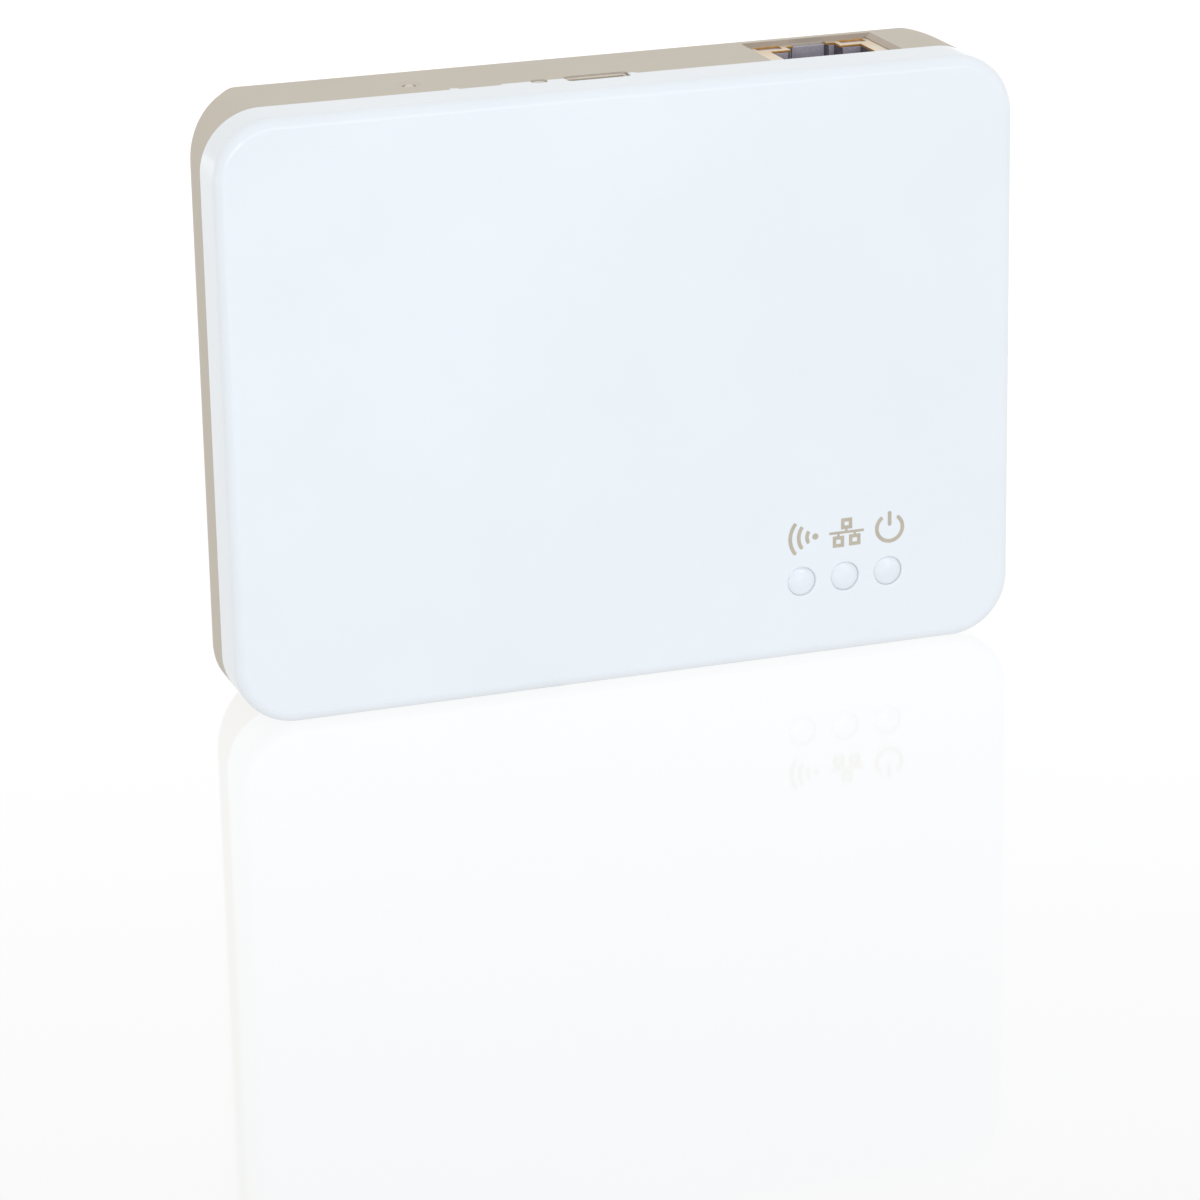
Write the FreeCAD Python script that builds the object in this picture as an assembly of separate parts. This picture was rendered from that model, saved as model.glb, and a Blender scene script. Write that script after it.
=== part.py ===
import FreeCAD, Part
import math
import os

# A pocket mobile hotspot standing on its long edge, with its indicator face towards -Y.
# X is the width, Z the height. Depth is measured back from the front face, along +Y.
# Sizes are in millimetres.

# Case
case_width = 100.0
case_height = 74.0
cover_depth = 7.0            # front cover, from the front face to the seam
housing_depth = 12.0         # rear housing, from the seam to the rear face
corner_radius = 7.5          # the four corners, seen from the front
end_round = (7.2, 8.8)       # the rear edges down the two short ends, along X and in depth
front_edge_radius = 1.4
rear_edge_radius = 0.4       # the rear edges along the top and the bottom
fade_power = 1.5             # how the one rear rounding passes into the other round each corner
fade_ease = 0.8              # the share of the corner after which that is eased out
cover_wall = 1.5
housing_wall = 1.5
seam_gap = 0.05
lip_depth = 1.1              # the housing's lip, which registers inside the cover
lip_wall = 0.6
lip_gap = 0.08
port_tongue_margin = (4.75, 4.95)    # past the reset key to the left, and past the charging socket
port_tongue_reach = 0.5      # the cover reaches further back beside the sockets
pry_tab_width = 1.1
pry_tab_space = 3.6          # from the pairing key to the tab
pry_tab_reach = 0.6
tongue_gap = 0.05

# Screws, bosses and feet
screw_inset_x = 9.0
screw_inset_z = 7.0
screw_radius = 1.0
screw_head_radius = 1.8
screw_head_height = 1.2
screw_drive_radius = 0.75
screw_drive_depth = 0.7
screw_head_chamfer = 0.2
screw_tip_wall = 1.35        # plastic left in front of the screw's hole
cover_boss_radius = 2.3
cover_boss_height = 3.7
housing_boss_radius = 2.5
screw_seat_height = 2.8
thread_gap = 0.02
screw_clearance = 0.2
head_clearance = 0.15
foot_radius = 3.0
foot_recess = 0.7
foot_stand = 0.5
foot_edge_radius = 0.3
foot_gap = 0.05

# Main board
board_thickness = 1.0
board_gap = 0.5

# Indicators
indicator_inset = 22.13      # from the case's right end to the middle one
indicator_pitch = 5.72
indicator_z = 9.85
indicator_names = ("wireless", "network", "power")
lens_radius = 1.74
lens_gap = 0.08
lens_crown = 0.28
lens_hole_edge = 0.3         # the rounded front edge of its hole
lens_flange_radius = 2.3
lens_flange_thickness = 0.6
led_size = (1.6, 0.6, 0.8)   # along X, depth and Z
led_gap = 0.25
baffle_size = (17.6, 6.0)
baffle_gap = 0.1
baffle_corner = 0.6

# Network socket, with its latch side to the rear
jack_inset = 20.3            # from the case's right end to its middle
jack_width = 15.9
jack_height = 11.25          # off the board
jack_length = 21.0
jack_recess = 0.55           # its face, below the top of the case
jack_shell = 0.25
jack_gap = 0.1
jack_rim_width = 17.0        # the bezel's rim in the top face
jack_bezel_width = 15.3
jack_rim_rear_gap = 0.15
plug_width = 11.9
plug_floor = 1.0             # from the board to the plug's space
plug_height = 7.0
plug_depth = 13.2
latch_width = 6.5
latch_height = 2.0
key_width = 4.4
key_wall = 0.3               # left behind the keyway
key_notch = 0.8              # the keyway's cut down the back of the shield
jack_slot_x = (3.9, 7.1)
jack_slot_width = 1.6
jack_slot_edge = 0.5
contact_count = 8
contact_pitch = 1.02
contact_width = 0.4
contact_thickness = 0.3
contact_reach = 2.1
contact_knee = 3.3           # the wires' upper bend, below the socket's face
contact_tip = 9.2            # their lower end, below the socket's face
jack_leg_width = 1.6
jack_leg_reach = 0.6
jack_leg_setback = 9.0
jack_peg_radius = 1.5
jack_peg_offset = 5.0
jack_peg_setback = 13.5
hole_gap = 0.1

# Charging socket, let into the board's upper edge
charge_x = -1.0
charge_width = 7.5
charge_height = 2.5
charge_length = 5.0
charge_recess = 0.2
charge_drop = 0.35           # how far it sits below the board's rear face
charge_shell = 0.25
charge_chamfer = 0.7
charge_slot_gap = (0.25, 0.12)   # round the shell in the case, along X and in depth
charge_board_gap = 0.15
charge_foot_size = (0.8, 0.25, 1.6)
blade_width = 4.6
blade_thickness = 0.6
blade_length = 4.0
charge_contact_count = 5
charge_contact_pitch = 0.65
charge_contact_size = (0.35, 0.08, 2.6)

# Push buttons
reset_space = 7.2            # from the charging socket's middle to the key's
reset_radius = 0.95
reset_sunk = 0.15
pairing_inset = 27.1         # from the case's left end
pairing_depth = 11.9
pairing_radius = 0.75
pairing_sunk = 0.1
pairing_tip_radius = 0.6
dish_radius = 1.6
dish_depth = 0.35
button_gap = 0.1
button_flange = 0.55
button_flange_height = 0.8
button_end_radius = 0.25
sleeve_wall = 0.9
pairing_drop = 2.8           # from the top of the case to the pairing arm
arm_width = 2.2
arm_height = 1.0
arm_tail = 0.9
switch_size = (4.7, 2.4, 2.2)    # along X, depth and Z
plunger_size = (2.2, 1.2)        # along X and in depth
plunger_reach = 0.95
plunger_root = 0.6
plunger_well = 1.0
plunger_gap = 0.08

# Card socket on the front of the board, and its card
card_size = (15.0, 0.76, 12.0)   # along X, depth and Z
card_corner = 2.5
card_recess = 1.4            # the card's outer end, inside the case's side
card_z = 37.2
card_gap = 0.1
card_base = 0.34
card_rail = 1.0
card_shell = 0.2
card_socket_length = 14.2
card_slot_gap = 0.3
thumb_radius = 5.0
thumb_depth = 0.9
thumb_side = 1.0             # past the card's slot, to the front and to the rear
card_contact_size = (2.0, 1.3)   # along X and Z
card_contact_pitch = (7.6, 2.54)
card_contact_lift = 0.03

# Battery: the cell fills the room that these spaces leave
battery_left_space = 14.0    # from the case's left end
battery_jack_space = 7.75    # to the network socket
battery_low_space = 5.5      # from the case's bottom
battery_top_space = 12.5
battery_board_space = 3.3
battery_edge_radius = 1.6
foam_thickness = 0.6
foam_width = 12.0
foam_inset = (4.0, 6.0)      # from the cell's ends and from its top and bottom
rib_thickness = 1.0
rib_length = 16.0
rib_height = 5.0
rib_gap = 0.3
protection_inset = 9.0       # from the cell's ends
protection_size = (0.8, 4.4)     # in depth and along Z
protection_setback = 2.5     # behind the cell's front
battery_socket_size = (4.0, 2.8, 5.0)
battery_plug_size = (4.0, 2.2, 4.2)
battery_socket_rise = 2.5    # above the cell
lead_radius = 0.55
lead_pitch = 1.5
lead_drop = 4.8              # from the plug to the first bend, along X

# Chips and shields on the rear of the board
shield_wall = 0.2
processor_x = 4.0
processor_top_space = 22.0   # from the case's top to the shield
processor_shield_size = (24.0, 2.2, 24.0)
processor_size = (14.0, 1.2, 14.0)
heat_pad_size = (11.0, 11.0)
memory_size = (5.0, 1.0, 11.0)
flash_size = (8.0, 0.8, 5.0)
chip_spacing = 1.2
modem_left_space = 12.5      # from the case's left end to the modem's board
modem_right_space = 2.5      # from that board to the processor's shield
modem_top_space = 23.0
modem_board_size = (0.8, 30.0)       # in depth and along Z
modem_shield_height = 1.6
modem_shield_inset = 1.5
wifi_inset = 19.0            # from the case's right end
wifi_z = 24.0
wifi_shield_size = (16.0, 2.0, 14.0)
wifi_radio_size = (9.0, 0.9, 9.0)
charger_size = (4.0, 0.9, 4.0)
charger_x = -14.5
charger_drop = 14.0          # from the case's top
transformer_size = (15.0, 4.0, 7.2)
transformer_space = 2.4      # below the network socket
crystal_size = (3.2, 0.8, 2.5)
crystal_corner = 0.4
crystal_drop = (12.0, 7.0)   # below the processor's shield
inductor_size = (4.0, 2.0, 4.0)
inductor_corner = 0.5
inductor_count = 3
inductor_pitch = 6.0
tantalum_size = (3.5, 2.8, 2.8)
tantalum_count = 3
tantalum_pitch = 5.5
ceramic_size = (1.0, 0.5, 0.5)
ceramic_count = 12
ceramic_pitch = 2.0
ceramic_space = 1.6

# Aerials: thin films on the inside of the walls, each with its own coaxial lead
film_thickness = 0.2
film_corner = 1.0
film_wall_gap = 0.3          # from the rounded rear of the ends
end_film_lead = 0.6          # from the seam
long_film_space = (2.0, 1.5)     # from the seam and from the rear wall
cellular_film_space = (24.0, 16.0)   # from the case's ends
diversity_film_space = (16.0, 18.0)  # from the case's bottom and top
wifi_left_film_lead = 0.5    # from the rounded corner
wifi_left_film_length = 15.5
wifi_right_film_drop = 14.0  # from the case's top
wifi_right_film_length = 22.0
coax_radius = 0.45
coax_plug_radius = 1.3
coax_plug_height = 0.95
coax_socket_size = 2.8
coax_socket_height = 1.1
coax_socket_base = 0.55
coax_pin_gap = 0.05
left_coax_inset = 9.0        # the cellular sockets, from the case's left end
cellular_coax_z = 22.0
diversity_coax_z = 38.0
wifi_left_coax_inset = 19.0
wifi_left_coax_drop = 14.0   # from the case's top
wifi_right_coax_inset = 7.0
wifi_right_coax_z = 30.0
cellular_landing = 1.0       # where each lead meets its film: in from the film's end, or along from its plug
diversity_landing = 7.0
wifi_left_landing = 6.0
wifi_right_landing = 12.0
coax_exit = {                # the way each lead leaves its plug
    "cellular": (0, 0, -1),
    "diversity": (-1, 0, 0),
    "wifi_left": (0, 0, 1),
    "wifi_right": (0, 0, 1),
}
coax_plug_bends = {          # bends measured from the plug, along X, depth and Z
    "cellular": [(0.0, 0.0, -6.0), (3.7, 0.6, -12.5), (4.2, 1.6, -17.4)],
    "diversity": [(-3.4, 0.0, 0.0)],
    "wifi_left": [(0.0, 0.0, 5.0)],
    "wifi_right": [(0.0, 0.0, 4.0)],
}
coax_film_bends = {          # bends measured from where the lead meets its film
    "cellular": [(-7.0, -1.5, 0.6)],
    "diversity": [(0.4, -0.975, -4.4)],
    "wifi_left": [(4.0, -3.075, -2.0), (2.5, -1.0, -0.3)],
    "wifi_right": [(-0.6, -0.4, -4.0)],
}

overlap = 1.0                # how far a cutting solid runs past a face

case_depth = cover_depth + housing_depth
half_depth = (case_depth + foot_stand) / 2
half_width = case_width / 2
board_front = cover_wall + cover_boss_height
board_rear = board_front + board_thickness
lip_outer = housing_wall - lip_wall
cover_leaf = lip_outer - lip_gap
inner_rear = case_depth - housing_wall
inner_top = case_height - housing_wall
board_edge = cover_wall + board_gap
screw_places = [(side * (half_width - screw_inset_x), z)
                for side in (-1, 1)
                for z in (screw_inset_z, case_height - screw_inset_z)]
indicator_x = half_width - indicator_inset
indicator_places = [indicator_x + step * indicator_pitch for step in (-1, 0, 1)]
jack_x = half_width - jack_inset
reset_x = charge_x - reset_space
pairing_x = pairing_inset - half_width
port_tongue_x = (reset_x - port_tongue_margin[0], charge_x + port_tongue_margin[1])
pry_tab_x = (pairing_x + pry_tab_space, pairing_x + pry_tab_space + pry_tab_width)
wifi_x = half_width - wifi_inset
charger_z = case_height - charger_drop
processor_z = case_height - processor_top_space - processor_shield_size[2] / 2
modem_ends = (modem_left_space - half_width,
              processor_x - processor_shield_size[0] / 2 - modem_right_space)
modem_x = sum(modem_ends) / 2
modem_width = modem_ends[1] - modem_ends[0]
modem_z = case_height - modem_top_space - modem_board_size[1] / 2
battery_ends = (battery_left_space - half_width, jack_x - jack_width / 2 - battery_jack_space)
battery_x = sum(battery_ends) / 2
battery_top = case_height - battery_top_space
battery_middle = (battery_low_space + battery_top) / 2
battery_front = board_rear + battery_board_space
battery_rear = inner_rear - foam_thickness
battery_socket_x = battery_ends[1]


def point(x, depth, z):
    return FreeCAD.Vector(x, depth - half_depth, z)


def block(x, depth, z):
    """A box, from its (low, high) pair along each direction."""
    return Part.makeBox(x[1] - x[0], depth[1] - depth[0], z[1] - z[0], point(x[0], depth[0], z[0]))


def around(centre, size):
    return (centre - size / 2, centre + size / 2)


def rod(radius, start, end):
    """A cylinder from one point to another, each given as x, depth and z."""
    low, high = point(*start), point(*end)
    return Part.makeCylinder(radius, (high - low).Length, low, high - low)


def prism(outline, start, end):
    """A flat outline of points, carried from start to end along the direction that they leave out."""
    face = Part.Face(Part.makePolygon(outline + [outline[0]]))
    return face.extrude(end - start)


def straight_edges(shape, direction):
    found = []
    for edge in shape.Edges:
        if isinstance(edge.Curve, Part.Line) and abs(edge.Curve.Direction.dot(direction)) > 0.999:
            found.append(edge)
    return found


def rounded(shape, radius, direction):
    return shape.makeFillet(radius, straight_edges(shape, direction))


def edges_at_depth(shape, depth):
    box_y = depth - half_depth
    return [e for e in shape.Edges
            if abs(e.BoundBox.YMin - box_y) < 0.001 and abs(e.BoundBox.YMax - box_y) < 0.001]


ALONG_X = FreeCAD.Vector(1, 0, 0)
ALONG_Y = FreeCAD.Vector(0, 1, 0)
ALONG_Z = FreeCAD.Vector(0, 0, 1)
CORNER_STEPS = 12            # places round each rear corner, and round its edge
EDGE_STEPS = 9


def outline_slab(inset, near, far):
    """The case's front outline, set in all round, between two depths."""
    slab = block((inset - half_width, half_width - inset), (near, far), (inset, case_height - inset))
    return rounded(slab, corner_radius - inset, ALONG_Y)


def rear_fade(turn):
    """How far the ends' rear rounding has passed into the top's: turn goes from 0 at the end to 1 at the top."""
    if turn < fade_ease:
        return turn ** fade_power
    left = (1 - turn) / (1 - fade_ease)
    rest = 1 - fade_ease ** fade_power
    slope = fade_power * fade_ease ** (fade_power - 1) * (1 - fade_ease)
    return 1 - left ** 2 * (3 * rest - slope + (slope - 2 * rest) * left)


def corner_places(inset):
    """Places over one rear corner: each row goes from the end to the top, and the rows go back round the edge."""
    rows = []
    for row in range(EDGE_STEPS + 1):
        edge_angle = row / EDGE_STEPS * math.pi / 2
        places = []
        for step in range(CORNER_STEPS + 1):
            turn = step / CORNER_STEPS
            fade = rear_fade(turn)
            across, back = [(size - inset) * (1 - fade) + rear_edge_radius * fade for size in end_round]
            reach = corner_radius - inset - across * (1 - math.cos(edge_angle))
            places.append(point(half_width - corner_radius + reach * math.cos(turn * math.pi / 2),
                                case_depth - inset - back * (1 - math.sin(edge_angle)),
                                case_height - corner_radius + reach * math.sin(turn * math.pi / 2)))
        rows.append(places)
    return rows


def flattened(curve, depth):
    flat = curve.copy()
    for number, pole in enumerate(curve.getPoles(), 1):
        flat.setPole(number, FreeCAD.Vector(pole.x, depth - half_depth, pole.z))
    return flat


def straight_run(rail, start, way, near):
    """From one corner to the next: the rear rounding, and the flat wall in front of it."""
    far_rail = rail.copy()
    far_rail.translate(way)
    front = FreeCAD.Vector(start.x, near - half_depth, start.z)
    return [Part.makeRuledSurface(rail.toShape(), far_rail.toShape()),
            Part.Face(Part.makePolygon([start, start + way, front + way, front, start]))]


def rear_form(inset, near):
    """The case's form from a depth to its rear, set in all round."""
    skin = Part.BSplineSurface()
    skin.interpolate(corner_places(inset))
    first_row, _, at_end, at_top = skin.bounds()
    border = skin.uIso(first_row)
    corner = [skin.toShape(), Part.makeRuledSurface(border.toShape(), flattened(border, near).toShape())]
    end = straight_run(skin.vIso(at_end), border.StartPoint, ALONG_Z * (2 * corner_radius - case_height), near)
    top = straight_run(skin.vIso(at_top), border.EndPoint, ALONG_X * (2 * corner_radius - case_width), near)
    middle = point(0, 0, case_height / 2)
    faces = corner + [face.mirror(middle, ALONG_X) for face in corner]
    faces += [face.mirror(middle, ALONG_Z) for face in faces]
    faces += end + [face.mirror(middle, ALONG_X) for face in end]
    faces += top + [face.mirror(middle, ALONG_Z) for face in top]
    for depth in (near, case_depth - inset):
        rim = [edge for face in faces for edge in edges_at_depth(face, depth)]
        faces.append(Part.Face(Part.Wire(Part.sortEdges(rim)[0])))
    shell = Part.makeShell(faces)
    shell.sewShape()
    return Part.Solid(shell)


# What passes through both shells

jack_rear = board_rear + jack_height
jack_top = case_height - jack_recess
jack_bottom = jack_top - jack_length
charge_depth = board_rear - charge_drop + charge_height / 2
charge_top = case_height - charge_recess
charge_bottom = charge_top - charge_length
reset_depth = cover_depth + port_tongue_reach / 2
card_far = board_front - card_base - card_gap
card_near = card_far - card_size[1]
card_right = half_width - card_recess
socket_front = card_near - card_gap - card_shell


def charge_slot():
    slot = block(around(charge_x, charge_width + 2 * charge_slot_gap[0]),
                 around(charge_depth, charge_height + 2 * charge_slot_gap[1]),
                 (charge_bottom, case_height + overlap))
    return rounded(slot, charge_chamfer, ALONG_Z)


def reset_hole():
    return rod(reset_radius + button_gap, (reset_x, reset_depth, inner_top - overlap),
               (reset_x, reset_depth, case_height + overlap))


def jack_pocket():
    return block(around(jack_x, jack_width + 2 * jack_gap),
                 (board_rear - jack_gap, jack_rear + jack_gap / 2),
                 (jack_bottom - jack_gap, jack_top + jack_gap / 2))


def port_tongue(gap):
    return block((port_tongue_x[0] - gap, port_tongue_x[1] + gap),
                 (cover_depth - gap, cover_depth + port_tongue_reach + gap),
                 (case_height - cover_leaf - gap, case_height))


def pry_tab(gap):
    return block((pry_tab_x[0] - gap, pry_tab_x[1] + gap),
                 (cover_depth - gap, cover_depth + pry_tab_reach + gap),
                 (case_height - cover_leaf - gap, case_height))


# Shells

def make_front_cover():
    outer = outline_slab(0, 0, cover_depth)
    outer = outer.makeFillet(front_edge_radius, edges_at_depth(outer, 0))
    shell = outer.cut(outline_slab(cover_wall, cover_wall, cover_depth + overlap))
    rabbet = outline_slab(cover_leaf, cover_depth - lip_depth - lip_gap, cover_depth + overlap)
    shell = shell.cut(rabbet)
    added = [port_tongue(0), pry_tab(0)]
    for x, z in screw_places:
        added.append(rod(cover_boss_radius, (x, cover_wall / 2, z), (x, board_front, z)))
    shell = shell.fuse(added)
    cuts = [charge_slot(), reset_hole(), jack_pocket()]
    for x, z in screw_places:
        cuts.append(rod(screw_radius + thread_gap, (x, screw_tip_wall, z),
                        (x, board_front + overlap, z)))
    for x in indicator_places:
        cuts.append(rod(lens_radius + lens_gap, (x, -overlap, indicator_z),
                        (x, cover_wall + overlap, indicator_z)))
    card_slot = block((half_width - cover_wall - overlap, half_width + overlap),
                      (card_near - card_slot_gap, card_far + card_gap),
                      around(card_z, card_size[2] + 2 * card_slot_gap))
    cuts.append(card_slot)
    thumb_x = half_width + thumb_radius - thumb_depth
    cuts.append(rod(thumb_radius, (thumb_x, card_near - card_slot_gap - thumb_side, card_z),
                    (thumb_x, card_far + card_gap + thumb_side, card_z)))
    shell = shell.cut(cuts)
    rims = [e for e in edges_at_depth(shell, 0)
            if isinstance(e.Curve, Part.Circle) and e.Curve.Radius < lens_flange_radius]
    return shell.makeFillet(lens_hole_edge, rims)


def make_rear_housing():
    start = cover_depth + seam_gap
    lip_front = cover_depth - lip_depth
    shell = rear_form(0, start).fuse(outline_slab(lip_outer, lip_front, start + overlap / 2))
    shell = shell.cut(rear_form(housing_wall, lip_front - overlap))
    added = []
    for x, z in screw_places:
        added.append(rod(housing_boss_radius, (x, board_rear, z), (x, case_depth - foot_recess, z)))
    sleeve_radius = pairing_radius + button_gap + sleeve_wall
    added.append(rod(sleeve_radius, (pairing_x, pairing_depth, case_height - pairing_drop + button_gap),
                     (pairing_x, pairing_depth, inner_top + overlap / 2)))
    added.extend(battery_ribs())
    shell = shell.fuse(added)
    seat = board_rear + screw_seat_height
    cuts = [charge_slot(), reset_hole(), jack_pocket(), jack_bezel()]
    cuts.extend([port_tongue(tongue_gap), pry_tab(tongue_gap)])
    for x, z in screw_places:
        cuts.append(rod(screw_radius + screw_clearance, (x, board_rear - overlap, z), (x, seat + overlap, z)))
        cuts.append(rod(screw_head_radius + head_clearance, (x, seat, z), (x, case_depth + overlap, z)))
        cuts.append(rod(foot_radius + foot_gap, (x, case_depth - foot_recess, z),
                        (x, case_depth + overlap, z)))
    cuts.append(rod(pairing_radius + button_gap, (pairing_x, pairing_depth, inner_top - pairing_drop),
                    (pairing_x, pairing_depth, case_height + overlap)))
    cuts.append(button_dish())
    return shell.cut(cuts)


def jack_bezel():
    """The sloping sides round the network socket's face."""
    slope = (jack_rim_width - jack_bezel_width) / 2 / jack_recess
    half_low = jack_bezel_width / 2
    half_high = half_low + slope * (jack_recess + overlap)
    start = cover_depth - overlap
    corners = [(-half_low, jack_top), (half_low, jack_top),
               (half_high, case_height + overlap), (-half_high, case_height + overlap)]
    outline = [point(jack_x + x, start, z) for x, z in corners]
    return prism(outline, point(0, start, 0), point(0, jack_rear + jack_rim_rear_gap, 0))


def button_dish():
    ball_radius = (dish_radius ** 2 + dish_depth ** 2) / (2 * dish_depth)
    centre = point(pairing_x, pairing_depth, case_height + ball_radius - dish_depth)
    return Part.makeSphere(ball_radius, centre)


def battery_ribs():
    """Short walls that keep the cell in place on the inside of the rear housing."""
    left, right = battery_ends[0] - rib_gap, battery_ends[1] + rib_gap
    low, top = battery_low_space - rib_gap, battery_top + rib_gap
    rear = inner_rear + overlap / 2
    ribs = []
    for side in (left - rib_thickness, right):
        ribs.append(block((side, side + rib_thickness), (inner_rear - rib_height, rear),
                          around(battery_middle, rib_length)))
    ribs.append(block(around(battery_x, rib_length), (inner_rear - rib_height / 2, rear),
                      (top, top + rib_thickness)))
    ribs.append(block(around(battery_x, rib_length), (inner_rear - rib_height, rear),
                      (low - rib_thickness, low)))
    return ribs


def make_housing_screws():
    seat = board_rear + screw_seat_height
    screws = []
    for x, z in screw_places:
        shank = rod(screw_radius, (x, screw_tip_wall + thread_gap, z), (x, seat, z))
        head = rod(screw_head_radius, (x, seat, z), (x, seat + screw_head_height, z))
        head = head.makeChamfer(screw_head_chamfer, edges_at_depth(head, seat + screw_head_height))
        screw = shank.fuse(head).removeSplitter()
        head_top = seat + screw_head_height
        drive = rod(screw_drive_radius / 3, (x, head_top - screw_drive_depth, z), (x, head_top + overlap, z))
        arms = [block(around(x, 2 * screw_drive_radius), (head_top - screw_drive_depth, head_top + overlap),
                      around(z, screw_drive_radius / 2)),
                block(around(x, screw_drive_radius / 2), (head_top - screw_drive_depth, head_top + overlap),
                      around(z, 2 * screw_drive_radius))]
        screws.append(screw.cut([drive] + arms))
    return Part.makeCompound(screws)


def make_rubber_feet():
    feet = []
    for x, z in screw_places:
        foot = rod(foot_radius, (x, case_depth - foot_recess, z), (x, case_depth + foot_stand, z))
        feet.append(foot.makeFillet(foot_edge_radius, edges_at_depth(foot, case_depth + foot_stand)))
    return Part.makeCompound(feet)


# Indicators

led_front = board_front - led_size[1]
lens_end = led_front - led_gap


def make_lens(x):
    stem = rod(lens_radius, (x, 0, indicator_z), (x, lens_end, indicator_z))
    flange = rod(lens_flange_radius, (x, cover_wall, indicator_z),
                 (x, cover_wall + lens_flange_thickness, indicator_z))
    ball_radius = (lens_radius ** 2 + lens_crown ** 2) / (2 * lens_crown)
    crown = Part.makeSphere(ball_radius, point(x, ball_radius, indicator_z))
    bulk = rod(lens_radius, (x, lens_crown, indicator_z), (x, lens_end, indicator_z))
    front = stem.common(crown)
    return front.fuse([bulk, flange]).removeSplitter()


def make_led(x):
    body = block(around(x, led_size[0]), (led_front, board_front), around(indicator_z, led_size[2]))
    return body.makeChamfer(led_size[2] / 8, straight_edges(body, ALONG_Y))


def make_light_baffle():
    body = block(around(indicator_x, baffle_size[0]),
                 (cover_wall + lens_flange_thickness, board_front),
                 around(indicator_z, baffle_size[1]))
    body = rounded(body, baffle_corner, ALONG_Y)
    bores = [rod(lens_radius + baffle_gap, (x, 0, indicator_z), (x, board_rear, indicator_z))
             for x in indicator_places]
    return body.cut(bores)


# Board

def make_main_board():
    board = outline_slab(board_edge, board_front, board_rear)
    near, far = board_front - overlap, board_rear + overlap
    cuts = [rod(screw_radius + screw_clearance, (x, near, z), (x, far, z)) for x, z in screw_places]
    cuts.append(block(around(charge_x, charge_width + 2 * charge_board_gap), (near, far),
                      (charge_bottom - charge_board_gap, case_height)))
    cuts.append(block(around(reset_x, 2 * (reset_radius + button_flange + board_gap)), (near, far),
                      (reset_end - board_gap, case_height)))
    for side in (-1, 1):
        cuts.append(jack_leg(side, hole_gap, far))
        cuts.append(jack_peg(side, jack_peg_radius + hole_gap, far))
    return board.cut(cuts)


# Network socket

def jack_leg(side, gap, far):
    """One of the shield's two legs, which stand through the board."""
    outside = jack_x + side * jack_width / 2
    inside = outside - side * jack_shell
    x = (min(outside, inside) - gap, max(outside, inside) + gap)
    z = around(jack_top - jack_leg_setback, jack_leg_width + 2 * gap)
    return block(x, (board_front - jack_leg_reach, far), z)


def jack_peg(side, radius, far):
    x = jack_x + side * jack_peg_offset
    z = jack_top - jack_peg_setback
    return rod(radius, (x, board_front - jack_leg_reach / 2, z), (x, far, z))


def plug_space(top):
    """The stepped space for a plug: body, latch and key, from wide to narrow towards the rear."""
    floor = board_rear + plug_floor
    roof = floor + plug_height
    low = jack_top - plug_depth
    space = block(around(jack_x, plug_width), (floor, roof), (low, top))
    latch = block(around(jack_x, latch_width), (roof - overlap, roof + latch_height), (low, top))
    key = block(around(jack_x, key_width), (roof - overlap, jack_rear - jack_shell - key_wall), (low, top))
    return space.fuse([latch, key]).removeSplitter()


def jack_inside():
    return block(around(jack_x, jack_width - 2 * jack_shell),
                 (board_rear + jack_shell, jack_rear - jack_shell),
                 (jack_bottom + jack_shell, jack_top - jack_shell))


def make_jack_shield():
    shell = block(around(jack_x, jack_width), (board_rear, jack_rear), (jack_bottom, jack_top))
    shell = shell.cut(jack_inside())
    slots = []
    for side in (-1, 1):
        near, far = (jack_x + side * edge for edge in jack_slot_x)
        rear = jack_rear - jack_slot_edge
        slots.append(block((min(near, far), max(near, far)), (rear - jack_slot_width, rear),
                           (jack_top - jack_shell - overlap / 2, jack_top + overlap)))
    notch = block(around(jack_x, key_width), (jack_rear - 2 * jack_shell, jack_rear + overlap),
                  (jack_top - key_notch, case_height))
    shell = shell.cut([plug_space(case_height), notch] + slots)
    pegs = [jack_peg(side, jack_peg_radius + hole_gap, board_rear + jack_shell) for side in (-1, 1)]
    shell = shell.cut(pegs)
    return shell.fuse([jack_leg(side, 0, board_rear + jack_shell) for side in (-1, 1)]).removeSplitter()


def make_jack_insert():
    body = jack_inside().cut(plug_space(case_height))
    return body.fuse([jack_peg(side, jack_peg_radius, board_rear + 2 * jack_shell) for side in (-1, 1)])


def make_jack_contacts():
    """Eight sprung wires, each up the front wall of the plug's space and bent back into it."""
    floor = board_rear + plug_floor
    low = jack_top - plug_depth
    knee = jack_top - contact_knee
    tip = jack_top - contact_tip
    profile = [(floor, low), (floor, knee), (floor + contact_thickness, knee),
               (floor + contact_reach, tip), (floor + contact_reach - contact_thickness, tip),
               (floor + contact_thickness, knee - 3 * contact_thickness), (floor + contact_thickness, low)]
    wires = []
    for count in range(contact_count):
        centre = jack_x + (count - (contact_count - 1) / 2) * contact_pitch
        left, right = around(centre, contact_width)
        outline = [point(left, depth, z) for depth, z in profile]
        wires.append(prism(outline, point(left, 0, 0), point(right, 0, 0)))
    return Part.makeCompound(wires)


# Charging socket

def charge_profile(inset, z):
    """The socket's outline, with two corners cut off towards the front."""
    half = charge_width / 2 - inset
    near, far = (charge_depth - charge_height / 2 + inset, charge_depth + charge_height / 2 - inset)
    cut = charge_chamfer
    corners = [(-half, far), (-half, near + cut), (cut - half, near),
               (half - cut, near), (half, near + cut), (half, far)]
    return [point(charge_x + x, depth, z) for x, depth in corners]


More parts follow.
